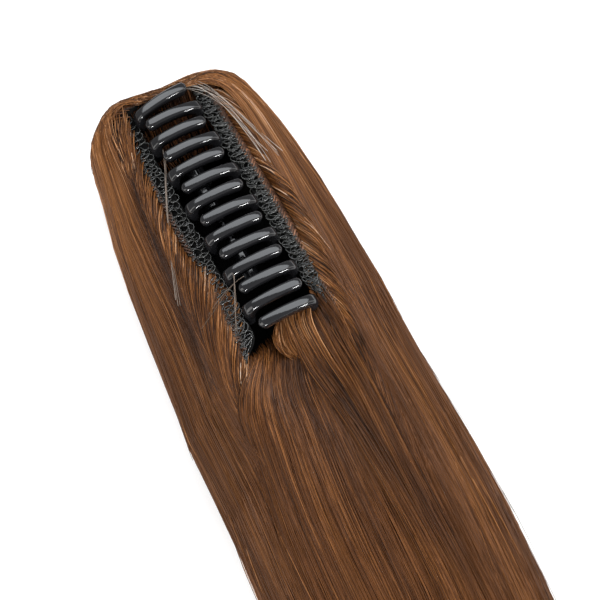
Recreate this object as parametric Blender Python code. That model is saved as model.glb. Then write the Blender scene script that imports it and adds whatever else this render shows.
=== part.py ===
"""A ponytail hairpiece on a claw clip, lying on its back with the teeth of the clip up.

Metres, +Z up. The clip lies along Y, the crown of the hair is at its +Y end and the tail
runs toward -Y. Everything is modelled round the middle of the clip, above the surface that
the piece lies on, and one empty then puts the middle of the whole piece over the origin.
"""

import math

import bmesh
import bpy
from mathutils import Vector

MM = 0.001

# Clearances
RUNNING_GAP = 0.3 * MM  # between a turning piece and what stays still
SEAM_GAP = 0.3 * MM  # between pieces that are sewn or lie against each other

# Teeth of the two combs
TEETH_PER_JAW = 7
TOOTH_PITCH = 15.0 * MM  # along one comb, whose gaps the other comb's teeth fill
TOOTH_WIDTH = 4.2 * MM
TOOTH_THICKNESS = 2.6 * MM
TOOTH_CHAMFER = 0.8 * MM
TOOTH_REACH = 11.1 * MM  # how far a tip passes the middle of the clip
TOOTH_ARCH = 1.7 * MM  # rise of a tooth's middle over its two ends
ROOT_WIDTH = 5.0 * MM  # a tooth where it turns down into its comb
END_MARGIN = 2.8 * MM  # comb beyond its last tooth
BEND_STEPS = 3  # facets round a tooth's shoulder
ARCH_STEPS = 4  # facets along a tooth's arch
TIP_RINGS = ((0.35, 0.78), (0.0, 0.35))  # a rounded tip: share of its length left, share of its size

# Jaws
JAW_HEIGHT = 23.0 * MM  # hinge line to the top of the teeth
JAW_HALF_WIDTH = 13.0 * MM  # middle of the clip to a comb's outer face
SHOULDER_RUN = 3.6 * MM  # across a tooth's bend, from its flat to the outer face
WALL_THICKNESS = 2.0 * MM
WALL_DROP = 8.5 * MM  # top of the teeth down to the top edge of the comb's wall
GRIP_LENGTH = 22.5 * MM  # hinge line to the end of a finger grip
GRIP_SPAN = 44.0 * MM  # along the hinge
GRIP_ANGLE = math.radians(118.0)  # from straight up
GRIP_ROOT = math.radians(100.0)  # where a grip leaves its web, from straight up
GRIP_KNEE = 0.45  # share of the grip's length where it straightens
WEB_START = math.radians(108.0)  # the web hugs the knuckles from here, from straight up
WEB_END = math.radians(58.0)  # to here, and then rises to the comb
WEB_BEND = ((0.72, 0.33), (1.0, 0.62))  # shares of the wall's x and of its top, on the way up

# Hinge
PIN_DIAMETER = 2.4 * MM
PIN_HEAD = 1.0 * MM
KNUCKLE_WALL = 1.5 * MM
KNUCKLE_WIDTH = 9.0 * MM
SPRING_ROOM = 15.0 * MM
SPRING_WIRE = 0.9 * MM
SPRING_TURNS = 5
ROUND_SIDES = 16  # facets round the pin, the bores and the knuckles
COIL_STEPS = 10  # facets along each turn of the spring
WIRE_SIDES = 5  # facets round the spring's wire

# Net and sewn track beside each comb
NET_WIDTH = 6.6 * MM
NET_THICKNESS = 1.2 * MM
NET_THREAD = 1.1 * MM
NET_ROWS = 2
NET_COLUMNS = 22
NET_SLOPE = math.radians(25.0)  # down and away from the comb
TRACK_WIDTH = 2.8 * MM
TRACK_THICKNESS = 1.8 * MM
TRACK_STITCH = 7.5 * MM  # from one swelling of the sewn track to the next
TRACK_WAIST = 0.82  # a narrow place's share of a swelling
TRACK_SIDES = 6

# Hair
BED_THICKNESS = 7.5 * MM  # hair under the turning clip
SIDE_THICKNESS = 23.0 * MM  # hair beside the clip, at its lower end
CROWN_DEPTH = 9.8 * MM  # hair past the upper end of the clip
CROWN_SKEW = 11.0 * MM  # how far the crown leans to +X
SLOT_FLARE = 7.0 * MM  # how much the hair opens over the nets, on each side
TAIL_LENGTH = 342.0 * MM  # lower end of the clip to the longest tip
TAIL_HALF_WIDTH = 48.2 * MM
TAIL_HEIGHT = 46.0 * MM
TAIL_DRIFT = -32.0 * MM  # how far the tips lie to the side of the clip
LOCK_COUNT = 13
LOCK_RISE = 1.5 * MM
LOCK_DEPTH = 2.5 * MM
LOCK_OVERLAP = 0.6 * MM
LOCK_WANDER = 0.018  # how far round the outline a lock sways, as a share of its half
SWAY_LENGTH = 6.0  # radians of sway from crown to tip
SWAY_OFFSET = 1.7  # radians of sway from one lock to the next
LOCK_THINS = (0.72, 0.85, 0.6)  # share of the tail where a lock starts to thin, then how much it loses
LOCK_SPREAD = 0.74  # how far round the outline the locks go, from its top to the surface at 1
LOCK_TIPS = (0.94, 1.0, 0.962, 0.985, 0.925, 0.97, 0.99)  # shares of the tail, lock by lock

# A lock's lens shape: shares of its half width, of its rise above the backing and of its depth in it
LOCK_LENS = (
    (-1.0, 0.0, 0.9),
    (-0.55, 0.75, 0.0),
    (0.0, 1.0, 0.0),
    (0.55, 0.75, 0.0),
    (1.0, 0.0, 0.9),
    (0.0, 0.0, 1.0),
)

# Half of the hair's outline across the tail: shares of its half width and of its height
OUTLINE_COLUMNS = ("across", "up")
OUTLINE = (
    (0.0, 1.0),
    (0.22, 0.99),
    (0.42, 0.965),
    (0.6, 0.92),
    (0.75, 0.85),
    (0.87, 0.74),
    (0.955, 0.58),
    (1.0, 0.4),
    (0.99, 0.22),
    (0.94, 0.08),
    (0.85, 0.0),
)

# Hair beside the clip, from its lower end: place as a share of the clip's room, side hair as a
# share of its thickness, top and dip as shares of the clip's full height, lean of the crown's skew
CLIP_COLUMNS = ("along", "side", "top", "dip", "lean")
CLIP_SECTIONS = (
    (0.0, 0.87, 0.88, 0.24, 0.0),
    (0.2, 0.83, 0.91, 0.24, 0.06),
    (0.44, 0.75, 0.93, 0.2, 0.1),
    (0.64, 0.66, 0.94, 0.1, 0.2),
    (0.84, 0.52, 0.945, 0.03, 0.32),
    (1.0, 0.4, 0.93, 0.0, 0.31),
)

# Crown: shares of its depth, of the half width and height at the clip's upper end, and of the skew.
# The tilt is how much higher than the middle the +X side is, and how much lower the other side
CROWN_COLUMNS = ("along", "wide", "top", "lift", "lean", "tilt")
CROWN_SECTIONS = (
    (0.25, 0.97, 0.94, 0.0, 0.3, 0.05),
    (0.55, 0.91, 0.85, 0.03, 0.37, 0.08),
    (0.8, 0.77, 0.72, 0.1, 0.5, 0.1),
    (0.95, 0.56, 0.6, 0.18, 0.7, 0.1),
    (1.0, 0.32, 0.49, 0.26, 0.85, 0.1),
)

# Tail: shares of its length, half width, height and drift; the dip is a share of the height too
TAIL_COLUMNS = ("along", "wide", "top", "dip", "drift")
TAIL_SECTIONS = (
    (0.05, 0.965, 1.03, 0.17, 0.0),
    (0.1, 0.98, 0.985, 0.05, 0.01),
    (0.2, 1.0, 0.93, 0.0, 0.08),
    (0.33, 0.99, 0.84, 0.0, 0.21),
    (0.47, 0.94, 0.73, 0.0, 0.41),
    (0.62, 0.875, 0.62, 0.0, 0.6),
    (0.77, 0.785, 0.5, 0.0, 0.78),
    (0.9, 0.64, 0.35, 0.0, 0.91),
    (1.0, 0.44, 0.16, 0.0, 1.0),
)
DIP_REACH = 0.55  # share of the half width that the dip behind the clip takes up
CORE_END = TAIL_SECTIONS[-2][0]  # share of the tail where the backing ends and the tips go on
CORE_TAPER = ((0.3, 0.9, 0.72), (0.55, 0.72, 0.4))  # shares of the stretch left, width and height
ROOM_STEPS = 36  # facets round the clip's room
SMOOTH_ANGLE = math.radians(40.0)  # edges sharper than this stay sharp

# Worked out from the sizes above
HALF_COMB = ((TEETH_PER_JAW - 0.5) * TOOTH_PITCH) / 2 + END_MARGIN
WALL_TOP = JAW_HEIGHT - WALL_DROP  # over the hinge line, as the two heights below are
SHOULDER_TOP = JAW_HEIGHT - TOOTH_ARCH
SHOULDER_X = JAW_HALF_WIDTH - SHOULDER_RUN
PIN_RADIUS = PIN_DIAMETER / 2
BORE_RADIUS = PIN_RADIUS + RUNNING_GAP
KNUCKLE_RADIUS = BORE_RADIUS + KNUCKLE_WALL
WEB_RADIUS = KNUCKLE_RADIUS + 2 * RUNNING_GAP + WALL_THICKNESS / 2
CLIP_ROOM = 2 * (HALF_COMB + RUNNING_GAP)


def arch_circle():
    """Radius of a tooth's arch, and the x of its highest point."""
    half_chord = (SHOULDER_X + TOOTH_REACH) / 2
    radius = (half_chord**2 + TOOTH_ARCH**2) / (2 * TOOTH_ARCH)
    return radius, (SHOULDER_X - TOOTH_REACH) / 2


def shoulder_circle():
    """Centre and radius of the bend that carries a tooth's arch round into the outer face."""
    arch_radius, arch_x = arch_circle()
    lean = math.asin((SHOULDER_X - arch_x) / arch_radius)
    radius = SHOULDER_RUN / (1 - math.sin(lean))
    centre = Vector((JAW_HALF_WIDTH - radius, SHOULDER_TOP - radius * math.cos(lean)))
    return centre, radius, lean


def net_edges():
    """Inner and outer edge of the net, and the outer edge of the track, as (x, z) from the hinge."""
    down = Vector((math.cos(NET_SLOPE), -math.sin(NET_SLOPE)))
    inner = Vector((JAW_HALF_WIDTH + SEAM_GAP, WALL_TOP))
    outer = inner + down * NET_WIDTH
    track_end = outer + down * (SEAM_GAP + TRACK_WIDTH)
    return inner, outer, track_end


def swing_radius():
    """The farthest that anything on a jaw reaches from the hinge line."""
    track_end = net_edges()[2]
    return max(
        math.hypot(TOOTH_REACH, JAW_HEIGHT),
        math.hypot(JAW_HALF_WIDTH, SHOULDER_TOP),
        track_end.length + TRACK_THICKNESS / 2,
        GRIP_LENGTH + WALL_THICKNESS,
    )


CAVITY_RADIUS = swing_radius() + RUNNING_GAP
HINGE_HEIGHT = BED_THICKNESS + CAVITY_RADIUS
CLIP_HEIGHT = HINGE_HEIGHT + JAW_HEIGHT
SEAM_Y = -CLIP_ROOM / 2


def clear_scene():
    for obj in list(bpy.data.objects):
        bpy.data.objects.remove(obj, do_unlink=True)


def material(name, colour, roughness, metallic=0.0):
    made = bpy.data.materials.new(name)
    made.use_nodes = True
    shader = made.node_tree.nodes["Principled BSDF"]
    shader.inputs["Base Color"].default_value = (*colour, 1.0)
    shader.inputs["Roughness"].default_value = roughness
    shader.inputs["Metallic"].default_value = metallic
    return made


def mesh_object(name, vertices, faces):
    """An object of one closed mesh, with its faces turned outward."""
    mesh = bpy.data.meshes.new(name)
    mesh.from_pydata([tuple(v) for v in vertices], [], faces)
    work = bmesh.new()
    work.from_mesh(mesh)
    bmesh.ops.recalc_face_normals(work, faces=work.faces)
    work.to_mesh(mesh)
    work.free()
    obj = bpy.data.objects.new(name, mesh)
    bpy.context.scene.collection.objects.link(obj)
    return obj


def loft(name, rings):
    """A closed body through rings of equally many points, with a face over each end."""
    count = len(rings[0])
    faces = [tuple(range(count)), tuple(range((len(rings) - 1) * count, len(rings) * count))]
    for row in range(len(rings) - 1):
        for i in range(count):
            j = (i + 1) % count
            a, b = row * count, (row + 1) * count
            faces.append((a + i, a + j, b + j, b + i))
    return mesh_object(name, [point for ring in rings for point in ring], faces)


def prism(name, outline, low, high):
    """An outline of (x, z) points, carried along Y from low to high."""
    return loft(name, [[(x, y, z) for x, z in outline] for y in (low, high)])


def disc(radius, sides):
    return [
        (radius * math.sin(2 * math.pi * i / sides), radius * math.cos(2 * math.pi * i / sides))
        for i in range(sides)
    ]


def strip(points, thickness):
    """The outline of a bent plate whose middle line runs through these (x, z) points."""
    points = [Vector(p) for p in points]
    sides = ([], [])
    for i, point in enumerate(points):
        before = (point - points[max(i - 1, 0)]).normalized()
        after = (points[min(i + 1, len(points) - 1)] - point).normalized()
        along = (before + after).normalized()
        normal = Vector((-along.y, along.x))
        leg = after if after.length else before
        half = thickness / 2 / max(normal.dot(Vector((-leg.y, leg.x))), 0.5)
        sides[0].append(point + normal * half)
        sides[1].append(point - normal * half)
    return [tuple(p) for p in sides[0] + sides[1][::-1]]


def boolean(obj, operation, others):
    """Runs one exact Boolean for each other object, in order, and removes the others."""
    for other in others:
        modifier = obj.modifiers.new(operation.title(), "BOOLEAN")
        modifier.operation = operation
        modifier.object = other
        modifier.solver = "EXACT"
    graph = bpy.context.evaluated_depsgraph_get()
    result = bpy.data.meshes.new_from_object(obj.evaluated_get(graph))
    obj.modifiers.clear()
    obj.data = result
    for other in others:
        bpy.data.objects.remove(other, do_unlink=True)


def drop_chips(work):
    """Removes every loose bit but the largest: a cut can leave a chip where two locks only touch."""
    groups, left = [], set(work.verts)
    while left:
        group, edge = set(), {left.pop()}
        while edge:
            group |= edge
            edge = {e.other_vert(v) for v in edge for e in v.link_edges} - group
        groups.append(group)
        left -= group
    groups.sort(key=len)
    loose = [vertex for group in groups[:-1] for vertex in group]
    bmesh.ops.delete(work, geom=loose, context="VERTS")


def cut_across(obj, y, keep):
    """Cuts a closed body straight across at y and caps it; keep is +1 for what lies above y, or -1."""
    work = bmesh.new()
    work.from_mesh(obj.data)
    bmesh.ops.bisect_plane(
        work,
        geom=work.verts[:] + work.edges[:] + work.faces[:],
        plane_co=(0.0, y, 0.0),
        plane_no=(0.0, -keep, 0.0),
        clear_outer=True,
    )
    bmesh.ops.holes_fill(work, edges=[edge for edge in work.edges if edge.is_boundary])
    drop_chips(work)
    bmesh.ops.recalc_face_normals(work, faces=work.faces)
    work.to_mesh(obj.data)
    work.free()


def dress(obj, finish, parent, height=0.0):
    """Gives a finished piece its material and its place over the resting surface."""
    obj.data.materials.clear()
    obj.data.materials.append(finish)
    obj.data.shade_smooth()
    obj.data.set_sharp_from_angle(angle=SMOOTH_ANGLE)
    obj.parent = parent
    obj.location = (0.0, 0.0, height)
    return obj


def tooth_path():
    """Middle line of a right-hand tooth as (point, outward normal, width, tip share), root first."""
    arch_radius, arch_x = arch_circle()
    centre, shoulder_radius, lean = shoulder_circle()
    inset = TOOTH_THICKNESS / 2
    path = []
    root_x = JAW_HALF_WIDTH - inset
    for z in (WALL_TOP - TOOTH_THICKNESS, centre.y):
        path.append((Vector((root_x, z)), Vector((1.0, 0.0)), ROOT_WIDTH, 1.0))
    for i in range(1, BEND_STEPS):
        turn = math.pi / 2 + (lean - math.pi / 2) * i / BEND_STEPS
        normal = Vector((math.sin(turn), math.cos(turn)))
        width = ROOT_WIDTH + (TOOTH_WIDTH - ROOT_WIDTH) * (i / BEND_STEPS) ** 2
        path.append((centre + normal * (shoulder_radius - inset), normal, width, 1.0))
    arch_z = JAW_HEIGHT - arch_radius
    tip_turn = -math.asin((TOOTH_REACH + arch_x) / arch_radius)
    round_off = TOOTH_WIDTH / 2 / arch_radius
    arch_end = tip_turn + round_off
    rings = [(lean + (arch_end - lean) * i / ARCH_STEPS, 1.0) for i in range(ARCH_STEPS + 1)]
    rings += [(tip_turn + round_off * left, share) for left, share in TIP_RINGS]
    for turn, share in rings:
        normal = Vector((math.sin(turn), math.cos(turn)))
        point = Vector((arch_x, arch_z)) + normal * (arch_radius - inset)
        path.append((point, normal, TOOTH_WIDTH, share))
    return path


def tooth(name, y):
    """One tooth of the right-hand comb, bevelled all along and rounded at its tip."""
    rings = []
    for point, normal, width, share in tooth_path():
        half_w, half_t = width / 2 * share, TOOTH_THICKNESS / 2 * share
        bevel = TOOTH_CHAMFER * share
        corners = (
            (-half_w, bevel - half_t),
            (bevel - half_w, -half_t),
            (half_w - bevel, -half_t),
            (half_w, bevel - half_t),
            (half_w, half_t - bevel),
            (half_w - bevel, half_t),
            (bevel - half_w, half_t),
            (-half_w, half_t - bevel),
        )
        rings.append(
            [(point.x + normal.x * up, y + across, point.y + normal.y * up) for across, up in corners]
        )
    return loft(name, rings)


def polar(radius, angle):
    return (radius * math.sin(angle), radius * math.cos(angle))


def knuckle_spans(outer_end):
    """(low, high) of a jaw's two knuckles; outer_end is +1 or -1, the end with its outer one."""
    inner = SPRING_ROOM / 2 + RUNNING_GAP
    outer = inner + KNUCKLE_WIDTH + RUNNING_GAP
    spans = []
    for start, side in ((inner, -outer_end), (outer, outer_end)):
        spans.append(tuple(sorted((side * start, side * (start + KNUCKLE_WIDTH)))))
    return spans


def build_jaw(name, side):
    """A comb with its wall, knuckles and finger grip, round its own hinge line; side +1 is the right."""
    wall_x = JAW_HALF_WIDTH - WALL_THICKNESS / 2
    web = [polar(WEB_RADIUS, turn) for turn in (WEB_START, (WEB_START + WEB_END) / 2, WEB_END)]
    web += [(wall_x * across, WALL_TOP * up) for across, up in WEB_BEND]
    web.append((wall_x, WALL_TOP))
    body = prism(name, strip(web, WALL_THICKNESS), -HALF_COMB, HALF_COMB)
    grip_line = [
        polar(WEB_RADIUS, GRIP_ROOT),
        polar(GRIP_LENGTH * GRIP_KNEE, GRIP_ANGLE),
        polar(GRIP_LENGTH, GRIP_ANGLE),
    ]
    added = [prism("grip", strip(grip_line, WALL_THICKNESS), -GRIP_SPAN / 2, GRIP_SPAN / 2)]
    arm = [
        polar(BORE_RADIUS + RUNNING_GAP, WEB_END),
        polar(WEB_RADIUS, WEB_END),
        polar(WEB_RADIUS, WEB_START),
        polar(BORE_RADIUS + RUNNING_GAP, WEB_START),
    ]
    for low, high in knuckle_spans(side):
        added.append(prism("knuckle", disc(KNUCKLE_RADIUS, ROUND_SIDES), low, high))
        added.append(prism("arm", arm, low, high))
    first = -HALF_COMB + END_MARGIN + (0.0 if side > 0 else TOOTH_PITCH / 2)
    for i in range(TEETH_PER_JAW):
        added.append(tooth("tooth", first + i * TOOTH_PITCH))
    boolean(body, "UNION", added)
    boolean(body, "DIFFERENCE", [prism("bore", disc(BORE_RADIUS, ROUND_SIDES), -HALF_COMB, HALF_COMB)])
    if side < 0:
        mirror(body)
    return body


def mirror(obj):
    """Turns a right-hand piece into a left-hand one."""
    work = bmesh.new()
    work.from_mesh(obj.data)
    for vertex in work.verts:
        vertex.co.x = -vertex.co.x
    bmesh.ops.reverse_faces(work, faces=work.faces)
    work.to_mesh(obj.data)
    work.free()


def build_pin():
    """The hinge pin, with a head past each outer knuckle."""
    reach = SPRING_ROOM / 2 + 2 * (RUNNING_GAP + KNUCKLE_WIDTH) + RUNNING_GAP
    sections = (
        (-reach - PIN_HEAD, KNUCKLE_RADIUS),
        (-reach, KNUCKLE_RADIUS),
        (-reach, PIN_RADIUS),
        (reach, PIN_RADIUS),
        (reach, KNUCKLE_RADIUS),
        (reach + PIN_HEAD, KNUCKLE_RADIUS),
    )
    rings = [[(x, y, z) for x, z in disc(radius, ROUND_SIDES)] for y, radius in sections]
    return loft("hinge_pin", rings)


def build_spring():
    """The closing spring, a coil between the inner knuckles."""
    coil_radius = BORE_RADIUS + RUNNING_GAP + SPRING_WIRE / 2
    half = SPRING_ROOM / 2 - SPRING_WIRE / 2 - RUNNING_GAP
    rings = []
    for i in range(SPRING_TURNS * COIL_STEPS + 1):
        turn = 2 * math.pi * i / COIL_STEPS
        y = -half + 2 * half * i / (SPRING_TURNS * COIL_STEPS)
        ring = []
        for k in range(WIRE_SIDES):
            around = 2 * math.pi * k / WIRE_SIDES
            radius = coil_radius + SPRING_WIRE / 2 * math.cos(around)
            ring.append(
                (radius * math.sin(turn), y + SPRING_WIRE / 2 * math.sin(around), radius * math.cos(turn))
            )
        rings.append(ring)
    return loft("closing_spring", rings)


def build_net(name, side):
    """A coarse knotted net: a thin sheet beside the comb, with a diamond gap in each of its cells."""
    inner, outer, _ = net_edges()
    across_vector = outer - inner
    normal = Vector((-across_vector.y, across_vector.x)).normalized()
    cell_y = 2 * HALF_COMB / NET_COLUMNS
    cell_x = NET_WIDTH / NET_ROWS

    def place(column, row, up):
        share = row / NET_ROWS
        bow = NET_THICKNESS * math.sin(math.pi * share)
        point = inner + across_vector * share + normal * (bow + up)
        return (side * point.x, -HALF_COMB + column * cell_y, point.y)

    vertices, index, faces = [], {}, []

    def vertex(column, row, up):
        key = (round(column, 4), round(row, 4), up)
        if key not in index:
            index[key] = len(vertices)
            vertices.append(place(column, row, up * NET_THICKNESS / 2))
        return index[key]

    reach_y = 0.5 - NET_THREAD / cell_y / 2
    reach_x = 0.5 - NET_THREAD / cell_x / 2
    for column in range(NET_COLUMNS):
        for row in range(NET_ROWS):
            corners = [(column, row), (column + 1, row), (column + 1, row + 1), (column, row + 1)]
            middle = (column + 0.5, row + 0.5)
            gap = [
                (middle[0], middle[1] - reach_x),
                (middle[0] + reach_y, middle[1]),
                (middle[0], middle[1] + reach_x),
                (middle[0] - reach_y, middle[1]),
            ]
            for i in range(4):
                j = (i + 1) % 4
                for up in (-1, 1):
                    faces.append((vertex(*corners[i], up), vertex(*corners[j], up), vertex(*gap[i], up)))
                    faces.append((vertex(*corners[j], up), vertex(*gap[j], up), vertex(*gap[i], up)))
                low = (vertex(*gap[i], -1), vertex(*gap[j], -1))
                high = (vertex(*gap[j], 1), vertex(*gap[i], 1))
                faces.append(low + high)
    rims = [((c, r), (c + 1, r)) for c in range(NET_COLUMNS) for r in (0, NET_ROWS)]
    rims += [((c, r), (c, r + 1)) for r in range(NET_ROWS) for c in (0, NET_COLUMNS)]
    for a, b in rims:
        faces.append((vertex(*a, -1), vertex(*b, -1), vertex(*b, 1), vertex(*a, 1)))
    return mesh_object(name, vertices, faces)


def build_track(name, side):
    """The sewn track that holds the hair's roots along the outer edge of the net."""
    _, outer, end = net_edges()
    across = (end - outer).normalized()
    normal = Vector((-across.y, across.x))
    middle = end - across * TRACK_WIDTH / 2
    steps = max(4, 2 * round(HALF_COMB * 2 / TRACK_STITCH))
    rings = []
    for i in range(steps + 1):
        swell = 1.0 if i % 2 else TRACK_WAIST
        half_w, half_t = TRACK_WIDTH / 2 * swell, TRACK_THICKNESS / 2 * swell
        y = -HALF_COMB + 2 * HALF_COMB * i / steps
        ring = []
        for k in range(TRACK_SIDES):
            turn = 2 * math.pi * k / TRACK_SIDES
            point = middle + across * half_w * math.cos(turn) + normal * half_t * math.sin(turn)
            ring.append((side * point.x, y, point.y))
        rings.append(ring)
    return loft(name, rings)


def hair_sections():
    """Every section of the hair as a dict of real sizes, from the crown's end to the longest tip."""
    sections = []
    clip_end = dict(zip(CLIP_COLUMNS, CLIP_SECTIONS[-1]))
    end_width = CAVITY_RADIUS + SIDE_THICKNESS * clip_end["side"]
    for row in reversed(CROWN_SECTIONS):
        share = dict(zip(CROWN_COLUMNS, row))
        sections.append({
            "y": CLIP_ROOM / 2 + CROWN_DEPTH * share["along"],
            "middle": CROWN_SKEW * share["lean"],
            "half_width": end_width * share["wide"],
            "top": CLIP_HEIGHT * clip_end["top"] * share["top"],
            "bottom": CLIP_HEIGHT * share["lift"],
            "dip": 0.0,
            "tilt": share["tilt"],
        })
    for row in reversed(CLIP_SECTIONS):
        share = dict(zip(CLIP_COLUMNS, row))
        sections.append({
            "y": SEAM_Y + CLIP_ROOM * share["along"],
            "middle": CROWN_SKEW * share["lean"],
            "half_width": CAVITY_RADIUS + SIDE_THICKNESS * share["side"],
            "top": CLIP_HEIGHT * share["top"],
            "bottom": 0.0,
            "dip": CLIP_HEIGHT * share["dip"],
            "tilt": 0.0,
        })
    for row in TAIL_SECTIONS:
        share = dict(zip(TAIL_COLUMNS, row))
        sections.append({
            "y": SEAM_Y - TAIL_LENGTH * share["along"],
            "middle": TAIL_DRIFT * share["drift"],
            "half_width": TAIL_HALF_WIDTH * share["wide"],
            "top": TAIL_HEIGHT * share["top"],
            "bottom": 0.0,
            "dip": TAIL_HEIGHT * share["dip"],
            "tilt": 0.0,
        })
    return sections


def section_at(sections, y):
    """The hair's section at any y, on a smooth curve through the table's rows."""
    last = len(sections) - 1
    i = next((k for k in range(1, last) if y >= sections[k]["y"]), last)
    low, high = sections[i - 1], sections[i]
    share = min(max((low["y"] - y) / (low["y"] - high["y"]), 0.0), 1.0)
    made = {"y": y}
    for key in ("middle", "half_width", "top", "bottom", "dip", "tilt"):
        slopes = []
        for k in (i - 1, i):
            a, b = sections[max(k - 1, 0)], sections[min(k + 1, last)]
            slopes.append((b[key] - a[key]) / (b["y"] - a["y"]) * (high["y"] - low["y"]))
        p, q, s = low[key], high[key], share
        made[key] = (
            (2 * s**3 - 3 * s**2 + 1) * p + (s**3 - 2 * s**2 + s) * slopes[0]
            + (3 * s**2 - 2 * s**3) * q + (s**3 - s**2) * slopes[1]
        )
    made["bottom"] = max(made["bottom"], 0.0)
    return made


def outline_point(section, around):
    """(x, z) on the hair's outline; around runs from -1, left on the surface, over the top to 1."""
    place = min(abs(around), 1.0) * (len(OUTLINE) - 1)
    i = min(int(place), len(OUTLINE) - 2)
    across, up = (a + (b - a) * (place - i) for a, b in zip(OUTLINE[i], OUTLINE[i + 1]))
    side = -1.0 if around < 0 else 1.0
    dip = section["dip"] * max(0.0, 1 - (across / DIP_REACH) ** 2) ** 2
    height = (section["top"] - section["bottom"]) * (1 + section["tilt"] * side * across)
    return Vector((
        section["middle"] + side * across * section["half_width"],
        section["bottom"] + height * up - dip,
    ))


def build_core(sections):
    """The backing that every lock is fused to, flat where it lies on the surface."""
    points_around = 2 * len(OUTLINE) - 1
    rings = []
    for section in sections[:-1]:
        places = [-1 + 2 * i / (points_around - 1) for i in range(points_around)]
        points = [outline_point(section, place) for place in places]
        rings.append([(point.x, section["y"], point.y) for point in points])
    last, x_middle, end = rings[-1], sections[-2]["middle"], sections[-2]["y"]
    for along, wide, high in CORE_TAPER:
        y = end - TAIL_LENGTH * (1 - CORE_END) * along
        rings.append([(x_middle + (x - x_middle) * wide, y, z * high) for x, _, z in last])
    return loft("hair_core", rings)


def build_lock(sections, number):
    """One lock: a lens-shaped strip that follows the outline from the crown to a pointed tip."""
    half_share = LOCK_SPREAD / LOCK_COUNT
    around = -LOCK_SPREAD + half_share * (2 * number + 1)
    start = sections[1]["y"]
    tip = SEAM_Y - TAIL_LENGTH * LOCK_TIPS[number % len(LOCK_TIPS)]
    stations = [section["y"] for section in sections[1:-1]] + [tip]
    thins_at, width_lost, height_lost = LOCK_THINS
    thins_from = SEAM_Y - TAIL_LENGTH * thins_at
    rings = []
    for y in stations:
        section = section_at(sections, y)
        share = (start - y) / (start - tip)
        sway = LOCK_WANDER * math.sin(SWAY_LENGTH * share + SWAY_OFFSET * number)
        point = outline_point(section, around + sway)
        low, high = (outline_point(section, around + sway + s * half_share) for s in (-1, 1))
        tangent = (high - low).normalized()
        normal = Vector((-tangent.y, tangent.x))
        fade = max(0.0, (thins_from - y) / (thins_from - tip))
        half = ((high - low).length / 2 + LOCK_OVERLAP) * (1 - width_lost * fade**2)
        thinner = 1 - height_lost * fade
        ring = []
        for across, rise, depth in LOCK_LENS:
            lifted = (LOCK_RISE * rise - LOCK_DEPTH * depth) * thinner
            corner = point + tangent * half * across + normal * lifted
            ring.append((corner.x, y, max(corner.y, 0.0)))
        rings.append(ring)
    return loft(f"lock_{number}", rings)


def cavity_outline():
    """The clip's room in the hair: round about the hinge line, and flared open over the nets."""
    track_end = net_edges()[2]
    edge = math.atan2(track_end.x, track_end.y)
    turns = [edge + (2 * math.pi - 2 * edge) * i / ROOM_STEPS for i in range(ROOM_STEPS + 1)]
    outline = [polar(CAVITY_RADIUS, turn) for turn in turns]
    top = JAW_HEIGHT + BED_THICKNESS
    rise = (top - outline[0][1]) / (JAW_HEIGHT - outline[0][1])
    flare = outline[0][0] + SLOT_FLARE * rise
    outline += [(-flare, top), (flare, top)]
    return [(x, z + HINGE_HEIGHT) for x, z in outline]


def build_hair():
    """The hair in two nodes that meet under the clip's lower end: round the clip, and the tail."""
    sections = hair_sections()
    crown = build_core(sections)
    boolean(crown, "UNION", [build_lock(sections, i) for i in range(LOCK_COUNT)])
    tail = crown.copy()
    tail.data = crown.data.copy()
    bpy.context.scene.collection.objects.link(tail)
    crown.name, tail.name = "crown_hair", "tail_hair"
    cut_across(crown, SEAM_Y + SEAM_GAP / 2, 1)
    cut_across(tail, SEAM_Y - SEAM_GAP / 2, -1)
    past_end = SEAM_Y - CROWN_DEPTH
    boolean(crown, "DIFFERENCE", [prism("cavity", cavity_outline(), past_end, CLIP_ROOM / 2)])
    return crown, tail


def centre_on_floor(anchor):
    """Moves the empty so that the middle of the whole piece's box is over the origin."""
    bpy.context.view_layer.update()
    corners = [
        obj.matrix_world @ Vector(corner)
        for obj in anchor.children
        for corner in obj.bound_box
    ]
    for axis in (0, 1):
        values = [corner[axis] for corner in corners]
        anchor.location[axis] = -(min(values) + max(values)) / 2
    bpy.context.view_layer.update()


def main():
    clear_scene()
    plastic = material("black_plastic", (0.012, 0.012, 0.013), 0.28)
    thread = material("black_thread", (0.016, 0.014, 0.013), 0.8)
    sewn = material("brown_stitching", (0.055, 0.022, 0.010), 0.7)
    steel = material("spring_steel", (0.55, 0.55, 0.56), 0.35, 1.0)
    hair = material("chestnut_hair", (0.235, 0.088, 0.028), 0.45)
    anchor = bpy.data.objects.new("hairpiece", None)
    bpy.context.scene.collection.objects.link(anchor)
    for word, side in (("right", 1), ("left", -1)):
        dress(build_jaw(f"{word}_jaw", side), plastic, anchor, HINGE_HEIGHT)
        dress(build_net(f"{word}_net", side), thread, anchor, HINGE_HEIGHT)
        dress(build_track(f"{word}_track", side), sewn, anchor, HINGE_HEIGHT)
    dress(build_pin(), steel, anchor, HINGE_HEIGHT)
    dress(build_spring(), steel, anchor, HINGE_HEIGHT)
    for piece in build_hair():
        dress(piece, hair, anchor)
    centre_on_floor(anchor)


main()
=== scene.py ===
import math

import bmesh
import bpy
import numpy as np
from mathutils import Matrix, Vector
from mathutils.bvhtree import BVHTree


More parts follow.
